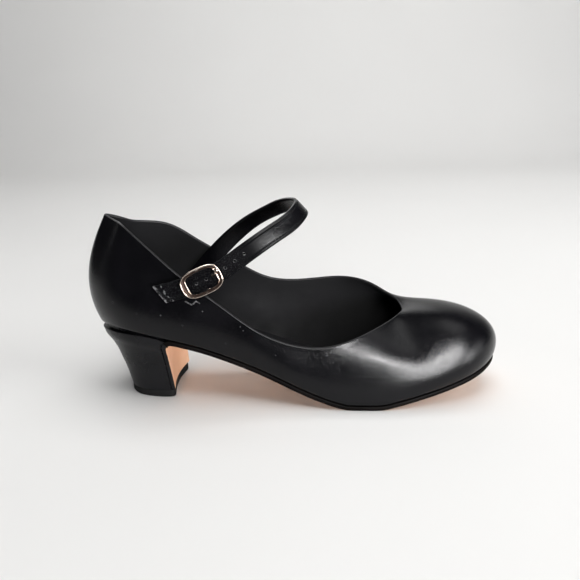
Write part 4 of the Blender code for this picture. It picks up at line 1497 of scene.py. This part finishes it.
class HoleRims(NodeTool):
    """Tree that sets a pressed rim round each punched hole."""

    RIM_POINTS = 24
    SECTION_POINTS = 8

    def __init__(self) -> None:
        """Build the tree once."""
        super().__init__("hole_rims", Hole_Radius="Float", Rim_Radius="Float", Leather="Material")
        source = self.source
        circle = self.add("GeometryNodeCurvePrimitiveCircle", Resolution=self.RIM_POINTS,
                          Radius=source["Hole Radius"])
        section = self.add("GeometryNodeCurvePrimitiveCircle", Resolution=self.SECTION_POINTS,
                           Radius=source["Rim Radius"])
        rim = self.add("GeometryNodeCurveToMesh", Curve=circle.outputs[0],
                       Profile_Curve=section.outputs[0])
        out = self.add("GeometryNodeInputNamedAttribute", {"data_type": "FLOAT_VECTOR"}, Name="out")
        turn = self.add("FunctionNodeAlignRotationToVector", {"axis": "Z"},
                        Vector=out.outputs["Attribute"])
        self.close(source["Geometry"], rim.outputs[0], turn.outputs[0], source["Leather"])

    def press(self, name: str, points: np.ndarray, out: np.ndarray, radius: float, rim: float,
              leather: bpy.types.Material) -> bpy.types.Object:
        """Press rims at points.

        Args:
            name: Name of the piece.
            points: Middles of the holes in millimetres.
            out: Outward direction at each hole.
            radius: Radius of the rim's middle line.
            rim: Radius of the rim's section.
            leather: Finish of the rims.

        Returns:
            Plain mesh object of all the rims.
        """
        mesh = bpy.data.meshes.new(name)
        mesh.from_pydata(((points + PLACE) * MM).tolist(), [], [])
        attribute = mesh.attributes.new("out", "FLOAT_VECTOR", "POINT")
        attribute.data.foreach_set("vector", out.astype(np.float32).ravel())
        return self.run(mesh, Hole_Radius=radius * MM, Rim_Radius=rim * MM, Leather=leather)


@dataclass
class Strap:
    """Instep strap with sewn edges and punched holes."""

    width: float = 10.8
    thickness: float = 2.0
    stations: int = 330
    face_columns: int = 61
    edge_round: float = 0.45
    crown: float = 0.20
    seam_in: float = 1.8
    seam_depth: float = 0.20
    seam_half: float = 0.42
    bead_in: float = 0.72
    bead_depth: float = 0.12
    bead_half: float = 0.17
    instep_centre: tuple[float, float, float] = (-42.0, 0.0, 67.0)
    quarter_top: float = 72.0
    instep_top: float = 102.0
    quarter_tilt: float = 0.08
    end_skew: float = 2.3
    end_skew_span: float = 14.0
    buckle_from_end: float = 25.3
    hole_pitch: float = 6.0
    hole_radius: float = 0.74
    hole_taper: float = 0.08
    first_hole: float = -3.6
    hole_count: int = 6
    prong_hole: int = 2
    prong_stretch: float = 2.0
    prong_widen: float = 0.75
    prong_back: float = 0.6
    stitch_pitch: float = 2.2
    stitch_length: float = 1.5
    stitch_radius: float = 0.33
    stitch_lift: float = 0.02
    stitch_seed: int = 7
    seam_step: float = 0.8
    seam_ends: tuple[float, float] = (2.6, 2.0)
    rim_sink: float = 0.06
    rim_out: float = 0.10
    rim_radius: float = 0.13
    way_step: float = 0.2
    edge_points: int = 6
    edge_slack: float = 0.05
    inner_skip: int = 6
    hole_points: int = 24
    cutter_half: float = 1.3
    sharp: float = 55.0

    def __post_init__(self) -> None:
        """Prepare the middle line."""
        rows = np.array(STRAP_LINE, float)
        knots = chord_knots(rows)
        self.curve = smooth_curve(knots, rows, closed=False)
        self.length = float(knots[-1])

    def frame(self, at: np.ndarray) -> tuple[np.ndarray, np.ndarray, np.ndarray, np.ndarray]:
        """Points of the middle line with the along, across and outward directions there.

        Args:
            at: Distances from the free end.

        Returns:
            Points, along, across and outward.
        """
        at = np.asarray(at, float)
        point = self.curve(at)
        ahead = np.minimum(at + self.way_step, self.length)
        behind = np.maximum(at - self.way_step, 0.0)
        along = unit_rows(self.curve(ahead) - self.curve(behind))
        span = self.instep_top - self.quarter_top
        lift = np.clip((point[:, 2] - self.quarter_top) / span, 0.0, 1.0)
        away = point - np.array(self.instep_centre)
        away[:, 0] *= lift
        away[:, 2] = away[:, 2] * lift + self.quarter_tilt * np.abs(away[:, 1])
        out = unit_rows(away)
        out = unit_rows(out - np.sum(out * along, axis=1)[:, None] * along)
        return point, along, np.cross(out, along), out

    def face_height(self, across: np.ndarray) -> np.ndarray:
        """Height of the outer face over the middle line at distances across.

        Args:
            across: Distances from the middle line.

        Returns:
            Heights.
        """
        half = 0.5 * self.width
        seam = np.exp(-((np.abs(across) - half + self.seam_in) / self.seam_half) ** 2)
        bead = np.exp(-((np.abs(across) - half + self.bead_in) / self.bead_half) ** 2)
        puff = self.crown * (1.0 - (across / half) ** 2)
        return 0.5 * self.thickness + puff - self.seam_depth * seam - self.bead_depth * bead

    def section(self) -> np.ndarray:
        """Closed section of the strap: outer face, edge, inner face, edge.

        Returns:
            Points as across and out.
        """
        half, deep, cut = 0.5 * self.width, 0.5 * self.thickness, self.edge_round
        face = np.linspace(-half + cut, half - cut, self.face_columns)
        outer = np.column_stack([face, self.face_height(face)])
        turns = np.linspace(0.5 * math.pi, -0.5 * math.pi, self.edge_points + 2)[1:-1]
        round_in = np.column_stack([half - cut + cut * np.cos(turns),
                                    (deep - self.edge_slack) * np.sin(turns)])
        back = face[::-self.inner_skip]
        inner = np.column_stack([back, np.full(len(back), -deep)])
        return np.vstack([outer, round_in, inner, round_in[::-1] * np.array([-1.0, 1.0])])

    def hole_places(self) -> list[tuple[float, float, float]]:
        """Place along, half length and half width of each hole.

        Returns:
            One row for each hole.
        """
        places = []
        for index in range(self.hole_count):
            at = self.buckle_from_end + self.first_hole + index * self.hole_pitch
            stretch, widen = self.hole_radius, self.hole_radius
            if index == self.prong_hole:
                at -= self.prong_back
                stretch += self.prong_stretch
                widen += self.prong_widen
            places.append((at, stretch, widen))
        return places

    def hole_cutter(self) -> MeshParts:
        """Round cutters through the strap.

        Returns:
            Mesh of all the cutters.
        """
        points: list[np.ndarray] = []
        faces: list[tuple[int, ...]] = []
        turns = np.linspace(0.0, 2.0 * math.pi, self.hole_points + 1)[:-1]
        for at, stretch, widen in self.hole_places():
            point, along, across, out = (item[0] for item in self.frame([at]))
            sweep = (stretch * np.cos(turns)[:, None] * along
                     + widen * np.sin(turns)[:, None] * across)
            narrow = 1.0 if stretch > self.hole_radius else self.hole_taper
            rows = np.array([point + narrow * sweep - self.cutter_half * out,
                             point + sweep + self.cutter_half * out])
            part = ring_grid(rows, [0, 0], closed_rows=False)
            shift = sum(len(p) for p in points)
            points.append(part.points)
            faces.extend(tuple(v + shift for v in face) for face in part.faces)
        return MeshParts(np.vstack(points), faces)

    def seam_line(self, side: float, start: float, end: float) -> np.ndarray:
        """Line of stitches along one edge of the outer face.

        Args:
            side: Side of the strap, -1 or 1.
            start: Start of the seam.
            end: End of the seam.

        Returns:
            Points of the line.
        """
        at = np.arange(start, end, self.seam_step)
        point, along, across, out = self.frame(at)
        half = 0.5 * self.width
        off = side * (half - self.seam_in)
        skew = self.end_skew * np.clip(1.0 - at / self.end_skew_span, 0.0, 1.0) * off / half
        lift = float(self.face_height(np.array([off]))[0]) + self.stitch_lift
        return point + off * across + lift * out - skew[:, None] * along

    def measure_end(self, band: bpy.types.Object) -> None:
        """Store each point's distance from the free end, in millimetres, for the finish.

        Args:
            band: The strap.
        """
        flat = np.empty(3 * len(band.data.vertices))
        band.data.vertices.foreach_get("co", flat)
        points = flat.reshape(-1, 3) / MM - PLACE
        at = np.linspace(0.0, self.length, self.stations)
        middle, along, across, _ = self.frame(at)
        near = np.array([np.argmin(((middle - point) ** 2).sum(axis=1)) for point in points])
        off = points - middle[near]
        skew = self.end_skew * np.clip(1.0 - at[near] / self.end_skew_span, 0.0, 1.0)
        away = at[near] + np.sum(off * along[near], axis=1)
        away += skew * np.sum(off * across[near], axis=1) / (0.5 * self.width)
        stored = band.data.attributes.new("from_end", "FLOAT", "POINT")
        stored.data.foreach_set("value", away.astype(np.float32))

    def build(self, leather: bpy.types.Material, thread: bpy.types.Material,
              sewer: StitchRow, rims: HoleRims) -> list[bpy.types.Object]:
        """Make the strap, its stitches and its hole rims, and put them on the shoe.

        Args:
            leather: Finish of the strap.
            thread: Finish of the stitches.
            sewer: Tree that sews.
            rims: Tree that presses the rims.

        Returns:
            Strap, stitches and rims.
        """
        at = np.linspace(0.0, self.length, self.stations)
        point, along, across, out = self.frame(at)
        section = self.section()
        half = 0.5 * self.width
        rows = []
        for i, place in enumerate(at):
            skew = self.end_skew * max(0.0, 1.0 - place / self.end_skew_span)
            rows.append(point[i] + section[:, :1] * across[i] + section[:, 1:] * out[i]
                        - skew / half * section[:, :1] * along[i])
        band = make_object("instep_strap", ring_grid(np.array(rows), [0] * len(rows), False),
                           (leather,), self.sharp)
        cutter = make_object("strap_hole_cutter", self.hole_cutter(), (), self.sharp)
        work_with(band, cutter, Joining.CUT, self.sharp)
        self.measure_end(band)
        settle(band, Slot.LEATHER, "strap")
        start, end = self.seam_ends[0], self.length - self.seam_ends[1]
        lines = [self.seam_line(side, start, end) for side in (-1.0, 1.0)]
        sewn = sewer.sew("strap_stitches", lines, self.stitch_pitch, self.stitch_length,
                         self.stitch_radius, self.stitch_seed, thread)
        settle(sewn, Slot.LEATHER)
        plain = [place[0] for i, place in enumerate(self.hole_places()) if i != self.prong_hole]
        middle, _, _, away = self.frame(plain)
        lift = 0.5 * self.thickness + self.crown - self.rim_sink
        pressed = rims.press("hole_rims", middle + lift * away, away,
                             self.hole_radius + self.rim_out, self.rim_radius, leather)
        settle(pressed, Slot.LEATHER)
        return [band, sewn, pressed]


@dataclass
class Buckle:
    """Stepped oval buckle with its centre bar, its prong and the leather tab that holds it."""

    strap: Strap
    half_length: float = 10.7
    half_width: float = 6.3
    squareness: float = 3.0
    clearance: float = 0.55
    wire_deep: float = 1.0
    stations: int = 144
    bar_radius: float = 0.8
    bar_flatness: float = 0.75
    bar_depth: float = -3.4
    bar_overhang: float = 0.3
    bar_points: int = 16
    bar_corner: int = 6
    tab_width: float = 8.6
    tab_thickness: float = 1.2
    tab_slot: float = 3.2
    tab_slot_reach: float = 3.4
    tab_slot_span: tuple[float, float] = (-7.0, -0.5)
    tab_round: float = 0.3
    tab_stations: int = 70
    rim_section: tuple[tuple[float, float], ...] = (
        (1.20, -0.60), (1.26, 0.00), (1.24, 0.45), (1.10, 0.82), (0.88, 0.98), (0.66, 0.93),
        (0.50, 0.70), (0.42, 0.36), (0.30, 0.02), (0.10, -0.16), (-0.30, -0.22), (-0.70, -0.20),
        (-0.88, -0.06), (-1.04, 0.04), (-1.20, -0.06), (-1.25, -0.34), (-1.12, -0.74),
        (-0.70, -0.94), (0.20, -1.00), (0.90, -0.92))
    # Raised rim columns take the plated finish; the low flange takes the dark copy, part tarnish, part
    # painted shade.
    bright_columns: tuple[int, ...] = (0, 1, 2, 3, 4, 5, 6, 12, 13)
    flange_root: float = 0.3
    flange_side: float = 0.62
    flange_end: float = 1.5
    prong_wide: float = 1.6
    prong_askew: float = 2.6
    prong_roll: float = 22.0
    prong_square: float = 0.55
    prong_stations: int = 90
    prong_points: int = 24
    prong_tip: tuple[float, ...] = (0.45, 0.75, 0.92)
    prong_flat_span: tuple[float, float] = (6.5, 9.5)
    prong_askew_span: tuple[float, float] = (6.5, 11.4)
    metal_sharp: float = 60.0
    tab_sharp: float = 50.0

    def __post_init__(self) -> None:
        """Find the strap's place and directions under the buckle."""
        frame_here = self.strap.frame([self.strap.buckle_from_end])
        self.point, self.along, self.across, self.out = (item[0] for item in frame_here)
        self.level = 0.5 * self.strap.thickness + self.clearance + self.wire_deep

    def at(self, along: np.ndarray, across: np.ndarray, out: np.ndarray) -> np.ndarray:
        """Points at distances along, across and out from the strap's middle under the buckle.

        Args:
            along: Distance along.
            across: Distance across.
            out: Distance out.

        Returns:
            The points.
        """
        along, across, out = np.broadcast_arrays(along, across, out)
        return (self.point + along[..., None] * self.along + across[..., None] * self.across
                + out[..., None] * self.out)

    def build_frame(self, metal: bpy.types.Material, dull: bpy.types.Material) -> bpy.types.Object:
        """Make the stepped frame with its bar and put it on the shoe.

        Args:
            metal: Finish of the raised rim.
            dull: Dark finish of the low flange, part tarnish and part painted shade.

        Returns:
            The piece.
        """
        power = 2.0 / self.squareness
        turns = np.linspace(0.0, 2.0 * math.pi, self.stations + 1)[:-1]
        c, s = np.cos(turns), np.sin(turns)
        x = self.half_length * np.copysign(np.abs(c) ** power, c)
        y = self.half_width * np.copysign(np.abs(s) ** power, s)
        loop = np.column_stack([x, y])
        closed = np.vstack([loop, loop[:1]])
        even = chord_knots(closed)
        wanted = np.linspace(0.0, even[-1], self.stations + 1)[:-1]
        loop = np.column_stack([np.interp(wanted, even, closed[:, k]) for k in (0, 1)])
        ahead = np.roll(loop, -1, axis=0) - np.roll(loop, 1, axis=0)
        away = unit_rows(np.stack([ahead[:, 1], -ahead[:, 0]], axis=1))
        section = np.array(self.rim_section)
        wide = self.flange_side + (self.flange_end - self.flange_side) * away[:, :1] ** 2
        sides, root = section[None, :, 0], self.flange_root
        sides = np.where(sides < root, root + (sides - root) * wide, sides)
        plan = loop[:, None, :] + sides[:, :, None] * away[:, None, :]
        rows = self.at(plan[..., 0], plan[..., 1], self.level + section[None, :, 1])
        parts = ring_grid(rows, [0] * len(rows), True)
        parts.finishes = [0 if k % len(section) in self.bright_columns else 1
                          for k in range(len(parts.faces))]
        thing = make_object("buckle_rim", parts, (metal, dull), self.metal_sharp)
        bar = make_object("bar_helper", self.bar_parts(), (metal,), self.metal_sharp)
        work_with(thing, bar, Joining.FUSE, self.metal_sharp)
        return settle(thing, Slot.METAL, "buckle_frame")

    def bar_parts(self) -> MeshParts:
        """Centre bar with its two posts up into the frame.

        Returns:
            Mesh of the bar.
        """
        side = self.half_width + self.bar_overhang
        r = self.bar_radius
        corner = np.linspace(0.0, 0.5 * math.pi, self.bar_corner)
        left = np.column_stack([-side + r * (1.0 - np.cos(corner)),
                                self.bar_depth + r - r * np.sin(corner)])
        path = np.vstack([[(-side, self.level)], left, (left * np.array([-1.0, 1.0]))[::-1],
                          [(side, self.level)]])
        ways = unit_rows(np.gradient(path, axis=0))
        spin = np.linspace(0.0, 2.0 * math.pi, self.bar_points + 1)[:-1]
        off = self.bar_flatness * r * np.cos(spin)
        rows = [self.at(r * np.sin(spin), p[0] - off * w[1], p[1] + off * w[0])
                for p, w in zip(path, ways)]
        return ring_grid(np.array(rows), [0] * len(rows), closed_rows=False)

    def build_prong(self, metal: bpy.types.Material) -> bpy.types.Object:
        """Make the prong from its hook to its rounded tip and put it on the shoe.

        Args:
            metal: Finish of the prong.

        Returns:
            The piece.
        """
        table = np.array(PRONG_LINE, float)
        knots = chord_knots(table[:, 0:2])
        at = np.linspace(0.0, knots[-1], self.prong_stations)
        points = smooth_curve(knots, table, closed=False)(at)
        ways = unit_rows(np.gradient(points[:, 0:2], axis=0))
        spin = np.linspace(0.0, 2.0 * math.pi, self.prong_points + 1)[:-1]
        flat = np.copysign(np.abs(np.cos(spin)) ** self.prong_square, np.cos(spin))
        broad = np.copysign(np.abs(np.sin(spin)) ** self.prong_square, np.sin(spin))
        rows = []
        middle = np.ones(self.prong_stations - 2 * len(self.prong_tip))
        fade = np.concatenate([self.prong_tip, middle, self.prong_tip[::-1]])
        for (along, out, radius), way, share in zip(points, ways, fade):
            lying = float(soft_step(along, *self.prong_flat_span))
            turn = math.radians(self.prong_roll) * lying
            high = share * radius * flat
            side = share * radius * (1.0 + (self.prong_wide - 1.0) * lying) * broad
            off = high * math.cos(turn) - side * math.sin(turn)
            aside = self.prong_askew * float(soft_step(along, *self.prong_askew_span))
            rows.append(self.at(along - off * way[1],
                                aside + high * math.sin(turn) + side * math.cos(turn),
                                out + off * way[0]))
        thing = make_object("buckle_tongue", ring_grid(np.array(rows), [0] * len(rows), False),
                            (metal,), self.metal_sharp)
        return settle(thing, Slot.METAL, "buckle_prong")

    def build_tab(self, leather: bpy.types.Material) -> bpy.types.Object:
        """Make the tab round the bar and put it on the shoe.

        Args:
            leather: Finish of the tab.

        Returns:
            The piece.
        """
        table = np.array(TAB_LINE, float)
        knots = chord_knots(table)
        at = np.linspace(0.0, knots[-1], self.tab_stations)
        path = smooth_curve(knots, table, closed=False)(at)
        ways = unit_rows(np.gradient(path, axis=0))
        wide, deep, cut = 0.5 * self.tab_width, 0.5 * self.tab_thickness, self.tab_round
        section = np.array(((-wide + cut, -deep), (wide - cut, -deep), (wide, -deep + cut),
                            (wide, deep - cut), (wide - cut, deep), (-wide + cut, deep),
                            (-wide, deep - cut), (-wide, -deep + cut)))
        rows = []
        for (along, depth), (way_along, way_out) in zip(path, ways):
            point, forward, across, out = (
                item[0] for item in self.strap.frame([self.strap.buckle_from_end + along]))
            side = way_along * out - way_out * forward
            rows.append(point + depth * out + section[:, :1] * across + section[:, 1:] * side)
        thing = make_object("tab_leather", ring_grid(np.array(rows), [0] * len(rows), False),
                            (leather,), self.tab_sharp)
        half, (low, high) = 0.5 * self.tab_slot, self.tab_slot_span
        corners = np.array(((-half, low), (half, low), (half, high), (-half, high)))
        slot_rows = np.array([self.at(np.full(4, reach), corners[:, 0], corners[:, 1])
                              for reach in (-self.tab_slot_reach, self.tab_slot_reach)])
        slot = make_object("slot_helper", ring_grid(slot_rows, [0, 0], False), (), self.tab_sharp)
        work_with(thing, slot, Joining.CUT, self.tab_sharp)
        return settle(thing, Slot.LEATHER, "buckle_tab")


class LampUse(Enum):
    """Which faces a lamp lights."""

    SHEEN = "glossy reflections only"
    WASH = "soft light only"


@dataclass(frozen=True)
class Lamp:
    """One soft rectangular lamp that the camera does not see.

    Azimuth counts in degrees from the front towards the toe, height in degrees above the horizon and
    slant about the lamp's own axis. It stands away from its aim by so many metres.
    """

    name: str
    away: float
    azimuth: float
    height: float
    size: tuple[float, float]
    radiance: float
    use: LampUse
    slant: float = 0.0
    aim: tuple[float, float, float] = (0.075, -0.02, 0.045)

    def place(self) -> None:
        """Add the lamp to the scene."""
        data = bpy.data.lights.new(self.name, "AREA")
        data.shape = "RECTANGLE"
        data.size, data.size_y = self.size
        data.energy = self.radiance * math.pi * self.size[0] * self.size[1]
        a, e = math.radians(self.azimuth), math.radians(self.height)
        way = Vector((math.sin(a) * math.cos(e), -math.cos(a) * math.cos(e), math.sin(e)))
        thing = bpy.data.objects.new(self.name, data)
        thing.location = Vector(self.aim) + self.away * way
        thing.rotation_mode = "QUATERNION"
        lean = Matrix.Rotation(math.radians(self.slant), 4, "Z").to_quaternion()
        thing.rotation_quaternion = (-way).to_track_quat("-Z", "Y") @ lean
        thing.visible_camera = False
        thing.visible_glossy = self.use is LampUse.SHEEN
        thing.visible_diffuse = self.use is LampUse.WASH
        bpy.context.scene.collection.objects.link(thing)


LAMPS = (
    Lamp("window_strip", 1.1, 24.5, 18.5, (0.24, 0.93), 41.0, LampUse.SHEEN, slant=-13.5),
    Lamp("left_pane", 1.1, 11.0, 33.0, (0.23, 0.17), 108.0, LampUse.SHEEN),
    Lamp("high_pane", 1.1, 66.0, 69.0, (0.60, 0.50), 2.2, LampUse.SHEEN),
    Lamp("side_window", 1.1, 50.0, 7.0, (0.30, 0.44), 18.0, LampUse.SHEEN),
    Lamp("right_fill", 1.1, 74.0, 6.0, (0.40, 0.60), 3.2, LampUse.SHEEN),
    Lamp("back_light", 1.3, 195.0, 45.0, (1.0, 0.7), 2.1, LampUse.SHEEN),
    Lamp("back_left", 1.3, 225.0, 45.0, (0.7, 0.7), 6.5, LampUse.SHEEN),
    Lamp("top_light", 1.3, 90.0, 86.0, (1.3, 1.1), 3.2, LampUse.WASH),
    Lamp("right_wash", 1.3, 72.0, 30.0, (0.8, 0.8), 4.0, LampUse.WASH),
    Lamp("low_wash", 1.1, 28.0, 3.0, (0.50, 0.30), 27.0, LampUse.WASH),
    Lamp("wall_wash", 1.1, 0.0, 50.0, (2.4, 0.6), 1.3, LampUse.WASH, aim=(0.0, 1.3, 0.6)),
)


@dataclass
class Studio:
    """Pale sweep, soft lights and the camera at the photograph's angle."""

    eye: tuple[float, float, float] = (19.67, -320.74, 170.70)
    azimuth: float = 3.54
    pitch: float = 19.0
    roll: float = -2.0
    lens: float = 36.0
    floor_front: float = -0.17
    floor_back: float = 1.0
    floor_half: float = 2.6
    sweep_radius: float = 0.5
    wall_top: float = 1.9
    floor_dark: Colour = (0.80, 0.795, 0.78)
    floor_light: Colour = (0.84, 0.835, 0.82)
    floor_gloss: float = 0.6
    floor_sheen: float = 0.03
    room: Colour = (0.06, 0.06, 0.065)

    def build_camera(self) -> None:
        """Place the camera."""
        a, p, r = (math.radians(v) for v in (self.azimuth, self.pitch, self.roll))
        ahead = Vector((-math.sin(a) * math.cos(p), math.cos(a) * math.cos(p), -math.sin(p)))
        right = Vector((math.cos(a), math.sin(a), 0.0))
        up = right.cross(ahead)
        side = math.cos(r) * right + math.sin(r) * up
        top = -math.sin(r) * right + math.cos(r) * up
        data = bpy.data.cameras.new("photo_camera")
        data.lens = self.lens
        data.sensor_width = 36.0
        data.clip_start = 0.01
        camera = bpy.data.objects.new("photo_camera", data)
        turn = Matrix((side, top, -ahead)).transposed().to_4x4()
        camera.matrix_world = Matrix.Translation(Vector(self.eye) * MM) @ turn
        bpy.context.scene.collection.objects.link(camera)
        bpy.context.scene.camera = camera

    def build_floor(self) -> None:
        """Make the pale floor that curves up behind the shoe."""
        line = [(y, 0.0) for y in np.linspace(self.floor_front, self.floor_back, 12)]
        for turn in np.linspace(0.0, 0.5 * math.pi, 17)[1:]:
            line.append((self.floor_back + self.sweep_radius * math.sin(turn),
                         self.sweep_radius * (1.0 - math.cos(turn))))
        line.append((self.floor_back + self.sweep_radius, self.wall_top))
        points = [(x, y, z) for y, z in line for x in (-self.floor_half, self.floor_half)]
        faces = [(2 * i, 2 * i + 1, 2 * i + 3, 2 * i + 2) for i in range(len(line) - 1)]
        mesh = bpy.data.meshes.new("studio_floor")
        mesh.from_pydata(points, [], faces)
        mesh.shade_smooth()
        g = Graph("pale_floor")
        tone = g.mix(g.noise(g.at, 3.0, 2.0), self.floor_dark, self.floor_light)
        mesh.materials.append(g.dress(tone, self.floor_gloss, sheen=self.floor_sheen))
        floor = bpy.data.objects.new("studio_floor", mesh)
        bpy.context.scene.collection.objects.link(floor)

    def build_lights(self) -> None:
        """Place the lamps and the dim room."""
        for lamp in LAMPS:
            lamp.place()
        world = bpy.data.worlds.new("dim_room")
        world.use_nodes = True
        back = world.node_tree.nodes["Background"]
        back.inputs["Color"].default_value = (*self.room, 1.0)
        back.inputs["Strength"].default_value = 1.0
        bpy.context.scene.world = world

    def build(self) -> None:
        """Make the whole studio."""
        self.build_camera()
        self.build_floor()
        self.build_lights()
        bpy.context.scene.view_settings.view_transform = "Standard"


def main() -> None:
    """Build the shoe's pieces in order and dress them."""
    logging.basicConfig(level=logging.INFO, format="%(name)s %(message)s")
    marks = [Mark(a, b, strength=0.45) for a, b in zip(RUBBED_LINE, RUBBED_LINE[1:])]
    marks += [Mark(a, a, strength=0.35) for a in SPECKS]
    leather = LeatherFinish("black_leather_finish", marks=tuple(marks)).make()
    strap_leather = LeatherFinish("strap_leather_finish", grain_per_m=1700.0, worn_end=True).make()
    fold = LeatherFinish("folded_topline_finish", gloss_low=0.42, gloss_high=0.52).make()
    lining = LiningFinish("dark_lining_finish").make()
    tan = SoleFinish("tan_sole_finish").make()
    sole_edge = EdgeFinish("sole_edge_paint", (0.0030, 0.0024, 0.0022), (0.0060, 0.0048, 0.0044),
                           0.40, 0.55, 900.0, 0.12, sheen=0.03).make()
    cover = EdgeFinish("heel_cover_finish", (0.0028, 0.0028, 0.0036), (0.0048, 0.0048, 0.0060),
                       0.24, 0.32, 1800.0, 0.10, sheen=0.20).make()
    rubber = EdgeFinish("top_lift_rubber_finish", (0.0035, 0.0035, 0.0036), (0.0080, 0.0080, 0.0080),
                        0.6, 0.8, 1200.0, 0.3, sheen=0.10).make()
    metal = MetalFinish("pale_gold_finish").make()
    # Dark copy of the gold for the low flange: part tarnish, part painted shade in the recess.
    shaded_tarnish_metal = MetalFinish("tarnish_and_shade_gold_finish", (0.050, 0.033, 0.027), (0.030, 0.020, 0.017),
                             0.42, 0.6).make()
    thread = ThreadFinish("black_thread_finish").make()

    form = ShoeForm()
    breast = Breast(form)
    Upper(form).build(leather, lining, fold)
    Insole(form).build(lining)
    Outsole(form, breast).build(tan, sole_edge, cover)
    heel = Heel(form, breast)
    heel.build_block(cover)
    heel.build_lift(rubber)
    strap = Strap()
    strap.build(strap_leather, thread, StitchRow(), HoleRims())
    buckle = Buckle(strap)
    buckle.build_frame(metal, shaded_tarnish_metal)
    buckle.build_prong(metal)
    buckle.build_tab(leather)
    Studio().build()


if __name__ == "__main__":
    main()
